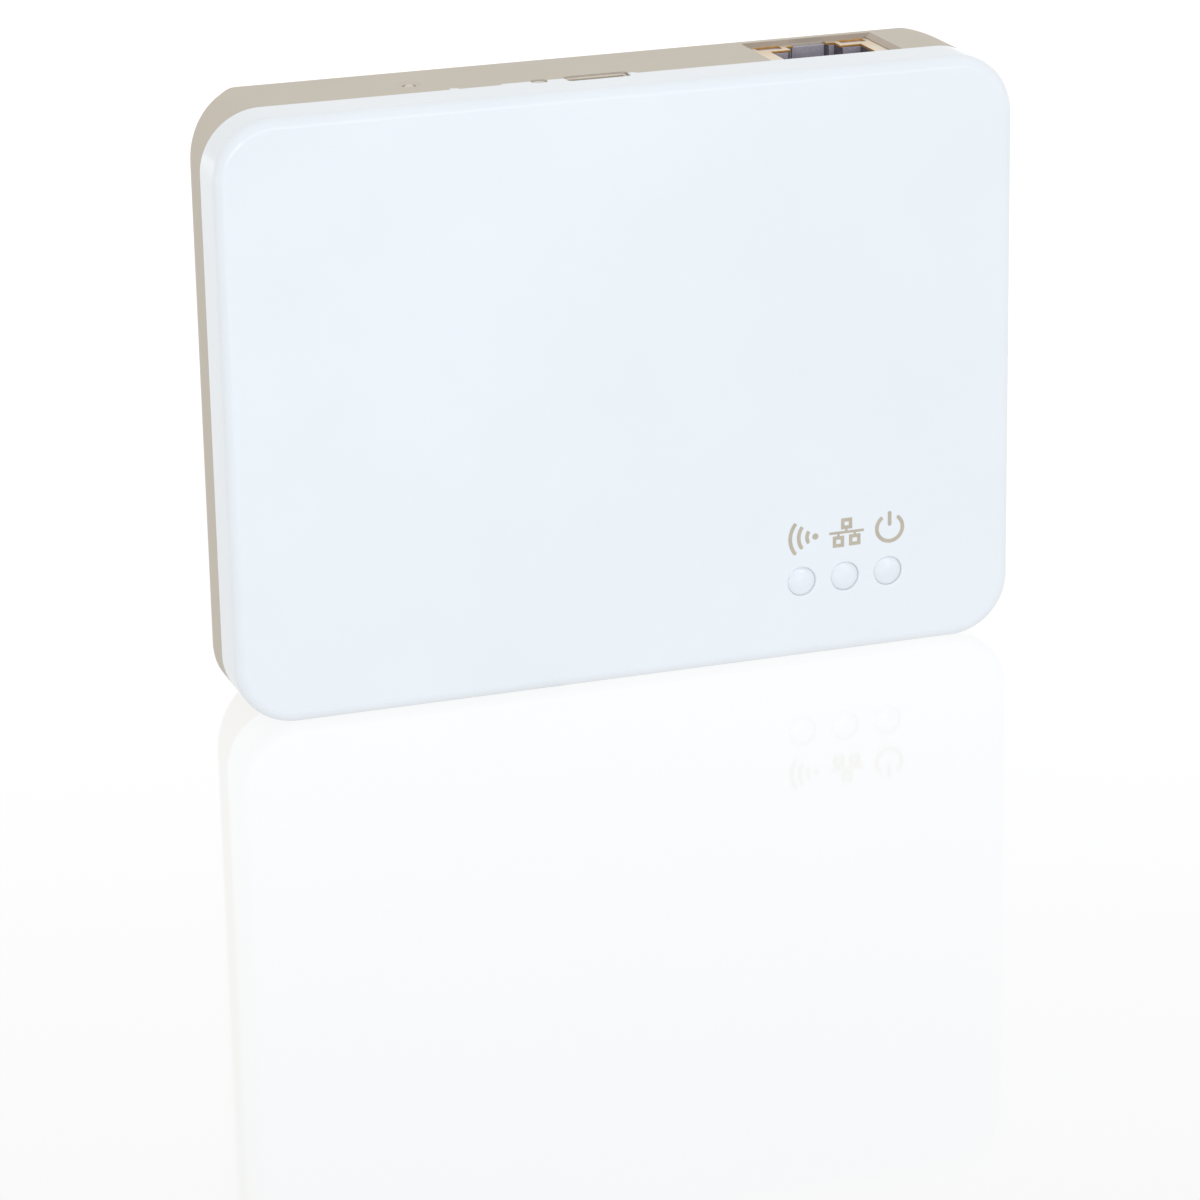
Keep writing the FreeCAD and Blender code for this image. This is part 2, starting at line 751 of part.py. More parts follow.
def make_charge_shell():
    low, high = point(0, 0, charge_bottom), point(0, 0, charge_top)
    tube = prism(charge_profile(0, charge_bottom), low, high)
    tube = tube.cut(prism(charge_profile(charge_shell, charge_bottom), low, high + ALONG_Z))
    feet = []
    for side in (-1, 1):
        root = charge_x + side * (charge_width / 2 - charge_shell)
        end = root + side * (charge_foot_size[0] + charge_shell)
        feet.append(block((min(root, end), max(root, end)), (board_rear, board_rear + charge_foot_size[1]),
                          (charge_bottom, charge_bottom + charge_foot_size[2])))
    return tube.fuse(feet).removeSplitter()


def make_charge_blade():
    low, high = point(0, 0, charge_bottom), point(0, 0, charge_bottom + charge_length - blade_length)
    root = prism(charge_profile(charge_shell, charge_bottom), low, high)
    blade = block(around(charge_x, blade_width), around(charge_depth, blade_thickness),
                  (charge_bottom, charge_bottom + blade_length))
    return root.fuse(blade).removeSplitter()


def make_charge_contacts():
    near = charge_depth - blade_thickness / 2
    low = charge_bottom + charge_length - blade_length
    strips = []
    for count in range(charge_contact_count):
        x = charge_x + (count - (charge_contact_count - 1) / 2) * charge_contact_pitch
        strips.append(block(around(x, charge_contact_size[0]), (near - charge_contact_size[1], near),
                            (low, low + charge_contact_size[2])))
    return Part.makeCompound(strips)


# Buttons and their switches

reset_end = inner_top - button_gap - button_flange_height
pairing_end = case_height - pairing_drop - arm_height
switch_depth = board_rear + switch_size[1] / 2


def make_reset_button():
    top = case_height - reset_sunk
    pin = rod(reset_radius, (reset_x, reset_depth, reset_end), (reset_x, reset_depth, top))
    pin = pin.makeFillet(button_end_radius, [e for e in pin.Edges if e.BoundBox.ZMin > top - 0.001])
    flange = rod(reset_radius + button_flange, (reset_x, reset_depth, reset_end),
                 (reset_x, reset_depth, reset_end + button_flange_height))
    return pin.fuse(flange).removeSplitter()


def make_pairing_button():
    top = case_height - pairing_sunk
    pin = rod(pairing_radius, (pairing_x, pairing_depth, pairing_end), (pairing_x, pairing_depth, top))
    pin = pin.makeFillet(pairing_tip_radius, [e for e in pin.Edges if e.BoundBox.ZMin > top - 0.001])
    arm = block(around(pairing_x, arm_width),
                (switch_depth - plunger_size[1] / 2, pairing_depth + pairing_radius + arm_tail),
                (pairing_end, pairing_end + arm_height))
    return pin.fuse(arm).removeSplitter()


def make_switch_body(x, press_end):
    top = press_end - plunger_reach
    body = block(around(x, switch_size[0]), (board_rear, board_rear + switch_size[1]),
                 (top - switch_size[2], top))
    well = block(around(x, plunger_size[0] + 2 * plunger_gap),
                 around(switch_depth, plunger_size[1] + 2 * plunger_gap), (top - plunger_well, top + overlap))
    return body.cut(well)


def make_switch_plunger(x, press_end):
    plunger = block(around(x, plunger_size[0]), around(switch_depth, plunger_size[1]),
                    (press_end - plunger_reach - plunger_root, press_end))
    return rounded(plunger, button_end_radius, ALONG_Z)


# Card socket

def make_card():
    left = card_right - card_size[0]
    low, high = around(card_z, card_size[2])
    corners = [(left, low), (card_right, low), (card_right, high),
               (left + card_corner, high), (left, high - card_corner)]
    outline = [point(x, card_near, z) for x, z in corners]
    return prism(outline, point(0, card_near, 0), point(0, card_far, 0))


card_socket_left = card_right - card_size[0] - card_gap - card_shell
card_socket_x = (card_socket_left, card_socket_left + card_socket_length)
card_socket_z = around(card_z, card_size[2] + 2 * (card_gap + card_rail + card_shell))


def card_contact_places():
    places = []
    for column in (-1, 1):
        for row in (-1, 0, 1):
            x = card_right - card_size[0] / 2 + column * card_contact_pitch[0] / 2
            places.append((x, card_z + row * card_contact_pitch[1]))
    return places


def make_card_base():
    x = (card_socket_x[0] + card_shell, card_socket_x[1])
    z = (card_socket_z[0] + card_shell, card_socket_z[1] - card_shell)
    base = block(x, (card_near - card_gap, board_front), z)
    tray = block((x[0] - overlap, x[1] + overlap), (card_near - card_gap - overlap, board_front - card_base),
                 (z[0] + card_rail, z[1] - card_rail))
    through = (board_front - card_base - overlap, board_front + overlap)
    windows = [block(around(cx, card_contact_size[0]), through, around(cz, card_contact_size[1]))
               for cx, cz in card_contact_places()]
    return base.cut([tray] + windows)


def make_card_shell():
    outer = block(card_socket_x, (socket_front, board_front), card_socket_z)
    inner = block((card_socket_x[0] + card_shell, card_socket_x[1] + overlap),
                  (socket_front + card_shell, board_front + overlap),
                  (card_socket_z[0] + card_shell, card_socket_z[1] - card_shell))
    return outer.cut(inner)


def make_card_contacts():
    return Part.makeCompound([block(around(x, card_contact_size[0]),
                                    (board_front - card_base - card_contact_lift, board_front),
                                    around(z, card_contact_size[1])) for x, z in card_contact_places()])


# Chips, shields and small parts on the rear of the board

def on_board(x, z, size, lift=0.0):
    """A body of a given size with its centre at x, z, standing on the board or lifted off it."""
    return block(around(x, size[0]), (board_rear + lift, board_rear + lift + size[1]), around(z, size[2]))


def open_shield(x, z, size, lift=0.0):
    outer = rounded(on_board(x, z, size, lift), 2 * shield_wall, ALONG_Y)
    inner_size = (size[0] - 2 * shield_wall, size[1] - shield_wall, size[2] - 2 * shield_wall)
    return outer.cut(on_board(x, z, inner_size, lift))


def processor_group():
    chip_x = processor_x - (memory_size[0] + chip_spacing) / 2
    chip_z = processor_z + (flash_size[2] + chip_spacing) / 2
    memory_x = chip_x + (processor_size[0] + memory_size[0]) / 2 + chip_spacing
    flash_z = chip_z - (processor_size[2] + flash_size[2]) / 2 - chip_spacing
    pad_height = processor_shield_size[1] - shield_wall - processor_size[1]
    pad_size = (heat_pad_size[0], pad_height, heat_pad_size[1])
    return {
        "processor": chip(chip_x, chip_z, processor_size),
        "memory_chip": chip(memory_x, chip_z, memory_size),
        "flash_chip": chip(chip_x, flash_z, flash_size),
        "processor_heat_pad": on_board(chip_x, chip_z, pad_size, processor_size[1]),
        "processor_shield": open_shield(processor_x, processor_z, processor_shield_size),
    }


def chip(x, z, size, lift=0.0):
    body = on_board(x, z, size, lift)
    return body.makeChamfer(size[1] / 8, edges_at_depth(body, board_rear + lift + size[1]))


def radio_group():
    shield_size = (modem_width - 2 * modem_shield_inset, modem_shield_height,
                   modem_board_size[1] - 2 * modem_shield_inset)
    return {
        "modem_board": on_board(modem_x, modem_z, (modem_width, *modem_board_size)),
        "modem_shield": open_shield(modem_x, modem_z, shield_size, modem_board_size[0]),
        "wifi_radio": chip(wifi_x, wifi_z, wifi_radio_size),
        "wifi_shield": open_shield(wifi_x, wifi_z, wifi_shield_size),
    }


def transformer_place():
    return jack_bottom - transformer_space - transformer_size[2] / 2


def make_crystals():
    x = processor_x + processor_shield_size[0] / 2 - crystal_size[0]
    shield_low = processor_z - processor_shield_size[2] / 2
    return Part.makeCompound([rounded(on_board(x, shield_low - drop, crystal_size), crystal_corner, ALONG_Y)
                              for drop in crystal_drop])


def make_inductors():
    bodies = []
    for count in range(inductor_count):
        body = on_board(charger_x + (count + 1) * inductor_pitch, charger_z, inductor_size)
        bodies.append(rounded(body, inductor_corner, ALONG_Y))
    return Part.makeCompound(bodies)


def make_tantalums():
    x = wifi_x + wifi_shield_size[0] / 2 - tantalum_size[0] / 2
    top = wifi_z - wifi_shield_size[2] / 2 - tantalum_size[2]
    bodies = [chip(x - count * tantalum_pitch, top, tantalum_size) for count in range(tantalum_count)]
    return Part.makeCompound(bodies)


def make_ceramics():
    """Two rows of small capacitors, below and above the processor's shield."""
    bodies = []
    for side in (-1, 1):
        z = processor_z + side * (processor_shield_size[2] / 2 + ceramic_space)
        for count in range(ceramic_count):
            x = processor_x + (count - (ceramic_count - 1) / 2) * ceramic_pitch
            bodies.append(on_board(x, z, (ceramic_size[2], ceramic_size[1], ceramic_size[0])))
    return Part.makeCompound(bodies)


# Battery

def make_battery_cell():
    cell = block(battery_ends, (battery_front, battery_rear), (battery_low_space, battery_top))
    return rounded(cell, battery_edge_radius, ALONG_Z)


def make_foam_pads():
    left, right = battery_ends[0] + foam_inset[0], battery_ends[1] - foam_inset[0]
    z = (battery_low_space + foam_inset[1], battery_top - foam_inset[1])
    return Part.makeCompound([block(x, (battery_rear, inner_rear), z)
                              for x in ((left, left + foam_width), (right - foam_width, right))])


protection_right = battery_ends[1] - protection_inset
protection_front = battery_front + protection_setback
protection_depth = (protection_front, protection_front + protection_size[0])


def make_protection_board():
    return block((battery_ends[0] + protection_inset, protection_right), protection_depth,
                 (battery_top, battery_top + protection_size[1]))


battery_socket_z = battery_top + battery_socket_rise + battery_socket_size[2] / 2 - protection_size[0]


def make_battery_socket():
    x = (battery_socket_x, battery_socket_x + battery_socket_size[0])
    return block(x, (board_rear, board_rear + battery_socket_size[1]),
                 around(battery_socket_z, battery_socket_size[2]))


plug_centre_depth = board_rear + battery_socket_size[1] / 2


def make_battery_plug():
    x = (battery_socket_x - battery_plug_size[0], battery_socket_x)
    return block(x, around(plug_centre_depth, battery_plug_size[1]),
                 around(battery_socket_z, battery_plug_size[2]))


def make_battery_leads():
    start_x = battery_socket_x - battery_plug_size[0]
    board_middle = sum(protection_depth) / 2
    leads = []
    for side in (-1, 1):
        z = battery_socket_z + side * lead_pitch / 2
        leads.append(lead([(start_x, plug_centre_depth, z),
                           (start_x - lead_drop / 2, plug_centre_depth, z),
                           (start_x - lead_drop, (plug_centre_depth + board_middle) / 2, z),
                           (protection_right + lead_drop / 2, board_middle, z),
                           (protection_right, board_middle, z)], lead_radius))
    return Part.makeCompound(leads)


# Wires

def lead(places, radius):
    """A round wire through the places, each x, depth and z: straight runs joined by tangent arcs."""
    route = [point(*place) for place in places]
    edges = []
    start = route[0]
    for before, corner, after in zip(route, route[1:], route[2:]):
        into, out = corner - before, after - corner
        turn = into.getAngle(out)
        reach = 0.45 * min(into.Length, out.Length)
        bend = reach / math.tan(turn / 2)
        into.normalize()
        out.normalize()
        inward = out - into
        inward.normalize()
        arc_start, arc_end = corner - into * reach, corner + out * reach
        middle = corner + inward * (bend / math.cos(turn / 2) - bend)
        edges.append(Part.LineSegment(start, arc_start).toShape())
        edges.append(Part.Arc(arc_start, middle, arc_end).toShape())
        start = arc_end
    edges.append(Part.LineSegment(start, route[-1]).toShape())
    path = Part.Wire(edges)
    ring = Part.Wire(Part.makeCircle(radius, route[0], route[1] - route[0]))
    return path.makePipeShell([ring], True, True)


# Aerials and their leads

left_wall = housing_wall - half_width
right_wall = half_width - housing_wall
plug_depth_middle = board_rear + coax_socket_height + coax_pin_gap + coax_plug_height / 2
coax_places = {
    "cellular": (left_coax_inset - half_width, cellular_coax_z),
    "diversity": (left_coax_inset - half_width, diversity_coax_z),
    "wifi_left": (wifi_left_coax_inset - half_width, case_height - wifi_left_coax_drop),
    "wifi_right": (half_width - wifi_right_coax_inset, wifi_right_coax_z),
}
end_film_depth = (cover_depth + end_film_lead, inner_rear - (end_round[1] - housing_wall) - film_wall_gap)
long_film_depth = (cover_depth + long_film_space[0], inner_rear - long_film_space[1])
cellular_film_x = (cellular_film_space[0] - half_width, half_width - cellular_film_space[1])


def film(x, depth, z, thin):
    return rounded(block(x, depth, z), film_corner, thin)


def aerial_group():
    wifi_left_start = corner_radius + wifi_left_film_lead - half_width
    wifi_left_x = (wifi_left_start, wifi_left_start + wifi_left_film_length)
    wifi_right_top = case_height - wifi_right_film_drop
    wifi_right_z = (wifi_right_top - wifi_right_film_length, wifi_right_top)
    diversity_z = (diversity_film_space[0], case_height - diversity_film_space[1])
    on_left = (left_wall, left_wall + film_thickness)
    on_right = (right_wall - film_thickness, right_wall)
    on_floor = (housing_wall, housing_wall + film_thickness)
    on_roof = (inner_top - film_thickness, inner_top)
    return {
        "cellular_antenna": film(cellular_film_x, long_film_depth, on_floor, ALONG_Z),
        "diversity_antenna": film(on_left, end_film_depth, diversity_z, ALONG_X),
        "wifi_antenna_left": film(wifi_left_x, long_film_depth, on_roof, ALONG_Z),
        "wifi_antenna_right": film(on_right, end_film_depth, wifi_right_z, ALONG_X),
    }


def moved(place, offset):
    return tuple(a + b for a, b in zip(place, offset))


def coax_landings():
    """Where each lead meets its film."""
    off_film = film_thickness + coax_radius
    film_depth = sum(long_film_depth) / 2
    end_depth = sum(end_film_depth) / 2
    return {
        "cellular": (cellular_film_x[0] + cellular_landing, film_depth, housing_wall + off_film),
        "diversity": (left_wall + off_film, end_depth, coax_places["diversity"][1] + diversity_landing),
        "wifi_left": (coax_places["wifi_left"][0] - wifi_left_landing, film_depth, inner_top - off_film),
        "wifi_right": (right_wall - off_film, end_depth, coax_places["wifi_right"][1] + wifi_right_landing),
    }


def coax_route(name):
    x, z = coax_places[name]
    plug = (x, plug_depth_middle, z)
    landing = coax_landings()[name]
    start = moved(plug, [coax_plug_radius * step for step in coax_exit[name]])
    return [start, *(moved(plug, bend) for bend in coax_plug_bends[name]),
            *(moved(landing, bend) for bend in coax_film_bends[name]), landing]


def make_coax_plugs():
    plugs = []
    for x, z in coax_places.values():
        near = plug_depth_middle - coax_plug_height / 2
        plugs.append(rod(coax_plug_radius, (x, near, z), (x, near + coax_plug_height, z)))
    return Part.makeCompound(plugs)


def make_coax_sockets():
    sockets = []
    for x, z in coax_places.values():
        top = board_rear + coax_socket_height
        base = on_board(x, z, (coax_socket_size, coax_socket_base, coax_socket_size))
        ring = rod(coax_plug_radius - coax_pin_gap, (x, board_rear, z), (x, top + coax_pin_gap, z))
        sockets.append(base.fuse(ring).removeSplitter())
    return Part.makeCompound(sockets)


nodes = {
    "front_cover": make_front_cover(),
    "rear_housing": make_rear_housing(),
    "housing_screws": make_housing_screws(),
    "rubber_feet": make_rubber_feet(),
    "light_baffle": make_light_baffle(),
    "main_board": make_main_board(),
    "network_jack_shield": make_jack_shield(),
    "network_jack_insert": make_jack_insert(),
    "network_jack_contacts": make_jack_contacts(),
    "charging_socket_shell": make_charge_shell(),
    "charging_socket_blade": make_charge_blade(),
    "charging_socket_contacts": make_charge_contacts(),
    "reset_button": make_reset_button(),
    "reset_switch_body": make_switch_body(reset_x, reset_end),
    "reset_switch_plunger": make_switch_plunger(reset_x, reset_end),
    "pairing_button": make_pairing_button(),
    "pairing_switch_body": make_switch_body(pairing_x, pairing_end),
    "pairing_switch_plunger": make_switch_plunger(pairing_x, pairing_end),
    "sim_card": make_card(),
    "sim_socket_base": make_card_base(),
    "sim_socket_shell": make_card_shell(),
    "sim_socket_contacts": make_card_contacts(),
    "network_transformer": chip(jack_x, transformer_place(), transformer_size),
    "charger_chip": chip(charger_x, charger_z, charger_size),
    "crystals": make_crystals(),
    "power_inductors": make_inductors(),
    "tantalum_capacitors": make_tantalums(),
    "ceramic_capacitors": make_ceramics(),
    "battery_cell": make_battery_cell(),
    "battery_foam_pads": make_foam_pads(),
    "battery_protection_board": make_protection_board(),
    "battery_socket": make_battery_socket(),
    "battery_plug": make_battery_plug(),
    "battery_leads": make_battery_leads(),
    "coax_plugs": make_coax_plugs(),
    "coax_sockets": make_coax_sockets(),
}
for name, x in zip(indicator_names, indicator_places):
    nodes[name + "_lens"] = make_lens(x)
    nodes[name + "_led"] = make_led(x)
nodes.update(processor_group())
nodes.update(radio_group())
nodes.update(aerial_group())
for name in coax_places:
    nodes[name + "_coax"] = lead(coax_route(name), coax_radius)

os.makedirs("parts", exist_ok=True)
for name, shape in nodes.items():
    shape.exportStep("parts/" + name + ".step")
    state = "valid" if shape.isValid() else "INVALID"
    print(name, len(shape.Solids), "solids", round(shape.Volume, 2), "mm3", state)
print(len(nodes), "nodes")
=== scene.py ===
import bpy, bmesh, math
from mathutils import Matrix, Vector


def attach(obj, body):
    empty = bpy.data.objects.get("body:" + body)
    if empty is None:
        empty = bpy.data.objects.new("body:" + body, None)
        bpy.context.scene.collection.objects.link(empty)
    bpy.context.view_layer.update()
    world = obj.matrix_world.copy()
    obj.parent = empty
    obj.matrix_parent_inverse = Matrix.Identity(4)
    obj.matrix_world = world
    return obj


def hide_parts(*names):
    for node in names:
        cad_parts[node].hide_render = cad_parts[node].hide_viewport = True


# A pocket hotspot on its long edge. Places are x, depth from the front face, and height, in mm.

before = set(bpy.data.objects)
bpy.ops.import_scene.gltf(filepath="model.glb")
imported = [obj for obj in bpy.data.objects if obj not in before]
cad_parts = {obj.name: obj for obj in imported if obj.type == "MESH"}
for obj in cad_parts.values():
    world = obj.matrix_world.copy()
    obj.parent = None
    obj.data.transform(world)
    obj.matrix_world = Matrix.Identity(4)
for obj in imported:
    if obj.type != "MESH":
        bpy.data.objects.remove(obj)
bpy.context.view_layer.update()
print("frame loaded,", len(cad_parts), "nodes")

mm = 0.001
frontToMiddle = 9.75         # the frame's middle, behind the front face
case = {
    "half": 50.0, "height": 74.0, "seam": 7.0, "rear": 19.0,
    "corner": 7.5, "cornerSteps": 24, "wall": 1.5,
    "screwX": 41.0, "screwZ": (7.0, 67.0),
    "boardFront": 5.2, "boardRear": 6.2,
    "past": 1.0,             # how far a cutter stands past a surface
}
socket = {"x": 29.7, "halfWidth": 7.95, "top": 73.45, "bottom": 52.45, "rear": 17.45, "sideGap": 0.1, "endGap": 0.05}
charger = {"x": -1.0, "depth": 7.1, "top": 73.8, "bottom": 68.8, "slotHalf": (4.0, 1.37), "slotCorner": 0.7}
resetKey = {"x": -8.2, "depth": 7.25, "radius": 0.95, "gap": 0.1, "holeFrom": 71.5,
            "flange": 1.5, "flangeZ": (71.6, 72.4), "edge": 0.25, "top": 73.85}
pairingKey = {"x": -22.9, "depth": 11.9, "radius": 0.75, "gap": 0.1, "holeFrom": 69.7,
              "bottom": 70.7, "edge": 0.6, "top": 73.9, "armHalf": 1.1, "armDepth": (6.8, 13.55), "armZ": (70.2, 71.2)}
lensPlace = {"x": (22.15, 27.87, 33.59), "z": 9.85, "radius": 1.74, "gap": 0.08, "holeEnd": 2.5}
cardSlot = {"z": 37.2, "half": 6.3, "depth": (3.7, 4.86), "inner": 47.5,
            "scoopX": 54.1, "scoopRadius": 5, "scoopDepth": (2.7, 5.86)}


# modelling helpers

def at(x, depth, z):
    return Vector((x * mm, (depth - frontToMiddle) * mm, z * mm))


def where(vert):
    return (vert.co.x / mm, vert.co.y / mm + frontToMiddle, vert.co.z / mm)


def flat(axis, value, slack=0.004):      # an edge or face whose corners all lie at one value
    return lambda part: all(abs(where(v)[axis] - value) < slack for v in part.verts)


def along(axis):                         # an edge that runs along one axis
    others = [i for i in range(3) if i != axis]
    return lambda edge: all(abs(where(edge.verts[0])[i] - where(edge.verts[1])[i]) < 0.004 for i in others)


def within(low, high):                   # inside a box given by two x, depth, z places
    return lambda part: all(low[i] - 0.004 < where(v)[i] < high[i] + 0.004 for v in part.verts for i in range(3))


def only(piece):
    if bpy.context.object and bpy.context.object.mode != "OBJECT":
        bpy.ops.object.mode_set(mode="OBJECT")
    bpy.ops.object.select_all(action="DESELECT")
    piece.select_set(True)
    bpy.context.view_layer.objects.active = piece


def choose(piece, kind, *tests):         # leaves the piece in edit mode with these parts selected
    only(piece)
    bpy.ops.object.mode_set(mode="EDIT")
    bpy.ops.mesh.select_mode(type=kind)
    bpy.ops.mesh.select_all(action="DESELECT")
    mesh = bmesh.from_edit_mesh(piece.data)
    parts = mesh.edges if kind == "EDGE" else mesh.faces
    for part in parts:
        if all(test(part) for test in tests):
            part.select_set(True)
    bmesh.update_edit_mesh(piece.data)


def done():
    bpy.ops.object.mode_set(mode="OBJECT")


def block(name, xs, depths, zs):
    low, high = at(xs[0], depths[0], zs[0]), at(xs[1], depths[1], zs[1])
    if bpy.context.object and bpy.context.object.mode != "OBJECT":
        done()
    bpy.ops.object.select_all(action="DESELECT")
    bpy.ops.mesh.primitive_cube_add(size=1, location=(low + high) / 2)
    piece = bpy.context.object
    piece.name = name
    piece.scale = high - low
    bpy.ops.object.transform_apply(location=True, rotation=True, scale=True)
    return piece


def push(axis, distance):                # extrudes what is selected
    step = [0, 0, 0]
    step[axis] = distance * mm
    bpy.ops.mesh.extrude_region_move(TRANSFORM_OT_translate={"value": step})


def turned(name, centre, axis, profile, sides=48):
    # a turned piece: (radius, place along the axis) steps, pushed out from a first short rod
    (firstRadius, first), (radius, second) = profile[:2]
    spot = list(centre)
    spot[axis] = (first + second) / 2
    if bpy.context.object and bpy.context.object.mode != "OBJECT":
        done()
    bpy.ops.object.select_all(action="DESELECT")
    turn = {0: (0, math.pi / 2, 0), 1: (math.pi / 2, 0, 0), 2: (0, 0, 0)}[axis]
    bpy.ops.mesh.primitive_cylinder_add(vertices=sides, radius=firstRadius * mm, depth=abs(second - first) * mm,
                                        location=at(*spot), rotation=turn)
    piece = bpy.context.object
    piece.name = name
    bpy.ops.object.transform_apply(location=True, rotation=True, scale=True)
    choose(piece, "FACE", flat(axis, second))
    here, wide = second, firstRadius
    for newRadius, place in [(radius, second)] + list(profile[2:]):
        if place != here or newRadius != wide:
            if (newRadius, place) != (radius, second):
                push(axis, place - here)
            spot[axis] = place
            ratio = newRadius / wide
            scale = [ratio] * 3
            scale[axis] = 1
            bpy.ops.transform.resize(value=scale, center_override=at(*spot))
            here, wide = place, newRadius
    bpy.ops.mesh.select_all(action="SELECT")
    bpy.ops.mesh.normals_make_consistent(inside=False)
    done()
    return piece


def combine(piece, other, how="DIFFERENCE"):
    only(piece)
    modifier = piece.modifiers.new(how.lower(), "BOOLEAN")
    modifier.operation, modifier.solver, modifier.object = how, "EXACT", other
    bpy.ops.object.modifier_apply(modifier=modifier.name)
    bpy.data.objects.remove(other)
    return piece


def joined(name, pieces):
    only(pieces[0])
    for piece in pieces[1:]:
        piece.select_set(True)
    bpy.ops.object.join()
    pieces[0].name = name
    return pieces[0]


def copied(piece, shift):
    twin = piece.copy()
    twin.data = piece.data.copy()
    bpy.context.scene.collection.objects.link(twin)
    twin.data.transform(Matrix.Translation(Vector(shift) * mm))
    return twin


def finished(piece, edge=0.06, steps=2, limit=30, smooth=35):
    # softened edges, then smooth shading that leaves the flat faces flat
    only(piece)
    if edge:
        bevel = piece.modifiers.new("edges", "BEVEL")
        bevel.width, bevel.segments = edge * mm, steps
        bevel.limit_method, bevel.angle_limit = "ANGLE", math.radians(limit)
        bevel.use_clamp_overlap = True
        bpy.ops.object.modifier_apply(modifier=bevel.name)
    bpy.ops.object.shade_smooth_by_angle(angle=math.radians(smooth))
    weighted = piece.modifiers.new("shading", "WEIGHTED_NORMAL")
    weighted.keep_sharp = True
    bpy.ops.object.modifier_apply(modifier=weighted.name)
    return piece


def paint(piece, slot, *tests):          # gives the chosen faces the piece's second or third material
    choose(piece, "FACE", *tests)
    piece.active_material_index = slot
    bpy.ops.object.material_slot_assign()
    done()


def placed(piece, body, slot, *nodes):
    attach(piece, body)
    if nodes:
        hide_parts(*nodes)


# finishes

def colour(red, green, blue):            # screen colour to the shader's scale
    return tuple((c / 255 / 12.92 if c <= 10 else ((c / 255 + 0.055) / 1.055) ** 2.4) for c in (red, green, blue))


def finish(name, base, second, patchSize, grainSize, grainDepth, rough, roughSpread=0.06,
           metal=0.0, stretch=(1, 1, 1), coat=0.0, speckle=None):
    # two tones in soft patches, a fine grain in the surface, and a roughness that drifts with it
    material = bpy.data.materials.new(name)
    material.use_nodes = True
    nodes, links = material.node_tree.nodes, material.node_tree.links
    shader = nodes["Principled BSDF"]
    place = nodes.new("ShaderNodeTexCoord")
    spread = nodes.new("ShaderNodeMapping")
    spread.inputs["Scale"].default_value = stretch
    links.new(place.outputs["Object"], spread.inputs["Vector"])

    patches = nodes.new("ShaderNodeTexNoise")
    patches.inputs["Scale"].default_value = 1 / (patchSize * mm)
    patches.inputs["Detail"].default_value = 4
    links.new(spread.outputs["Vector"], patches.inputs["Vector"])
    tones = nodes.new("ShaderNodeValToRGB")
    tones.color_ramp.elements[0].position = 0.32
    tones.color_ramp.elements[1].position = 0.68
    tones.color_ramp.elements[0].color = (*colour(*base), 1)
    tones.color_ramp.elements[1].color = (*colour(*second), 1)
    links.new(patches.outputs["Fac"], tones.inputs["Fac"])
    links.new(tones.outputs["Color"], shader.inputs["Base Color"])

    grain = nodes.new("ShaderNodeTexNoise")
    grain.inputs["Scale"].default_value = 1 / (grainSize * mm)
    grain.inputs["Detail"].default_value = 3
    links.new(spread.outputs["Vector"], grain.inputs["Vector"])
    if speckle:                          # light or dark flecks that follow the grain
        flecks = nodes.new("ShaderNodeValToRGB")
        flecks.color_ramp.elements[0].position = 0.42
        flecks.color_ramp.elements[1].position = 0.66
        links.new(grain.outputs["Fac"], flecks.inputs["Fac"])
        mix = nodes.new("ShaderNodeMix")
        mix.data_type = "RGBA"
        links.new(flecks.outputs["Color"], mix.inputs["Factor"])
        links.new(tones.outputs["Color"], mix.inputs["A"])
        mix.inputs["B"].default_value = (*colour(*speckle), 1)
        links.new(mix.outputs["Result"], shader.inputs["Base Color"])

    roughRange = nodes.new("ShaderNodeMapRange")
    roughRange.inputs["To Min"].default_value = rough - roughSpread
    roughRange.inputs["To Max"].default_value = rough + roughSpread
    links.new(patches.outputs["Fac"], roughRange.inputs["Value"])
    links.new(roughRange.outputs["Result"], shader.inputs["Roughness"])

    bump = nodes.new("ShaderNodeBump")
    bump.inputs["Strength"].default_value = 1
    bump.inputs["Distance"].default_value = grainDepth * mm
    links.new(grain.outputs["Fac"], bump.inputs["Height"])
    links.new(bump.outputs["Normal"], shader.inputs["Normal"])

    shader.inputs["Metallic"].default_value = metal
    shader.inputs["Coat Weight"].default_value = coat
    shader.inputs["Coat Roughness"].default_value = 0.12
    return material


def dress(piece, *materials):
    piece.data.materials.clear()
    for material in materials:
        piece.data.materials.append(material)


coverPlastic = finish("coverPlastic", (221, 226, 228), (223, 228, 230), 14, 0.5, 0.0006, 0.2, 0.02)
housingPlastic = finish("housingPlastic", (187, 178, 162), (190, 181, 166), 9, 0.22, 0.004, 0.55, 0.05)
lensPlastic = finish("lensPlastic", (218, 223, 226), (221, 226, 229), 3, 0.4, 0.0004, 0.2, 0.03, coat=0.3)
signInk = finish("signInk", (175, 167, 149), (183, 175, 156), 1.2, 0.12, 0.003, 0.5)
jackSteel = finish("jackSteel", (226, 218, 204), (226, 205, 176), 2.5, 0.15, 0.0015, 0.38, 0.08,
                   metal=1, stretch=(0.15, 1, 1))
cutCopper = finish("cutCopper", (198, 148, 72), (176, 126, 56), 0.6, 0.1, 0.002, 0.42, 0.1, metal=0.3)
jackPlastic = finish("jackPlastic", (172, 167, 176), (152, 147, 157), 1.6, 0.16, 0.02, 0.5, 0.08,
                     speckle=(182, 177, 186))
# painted shade: a dark copy of the socket plastic for the insert's side walls, standing in for the shade on them;
# jackPlastic is the lit tone on the walls that face the front
jackPaintedShade = finish("jackPaintedShade", (84, 78, 86), (70, 64, 72), 1.6, 0.16, 0.02, 0.55, 0.08, speckle=(104, 98, 106))
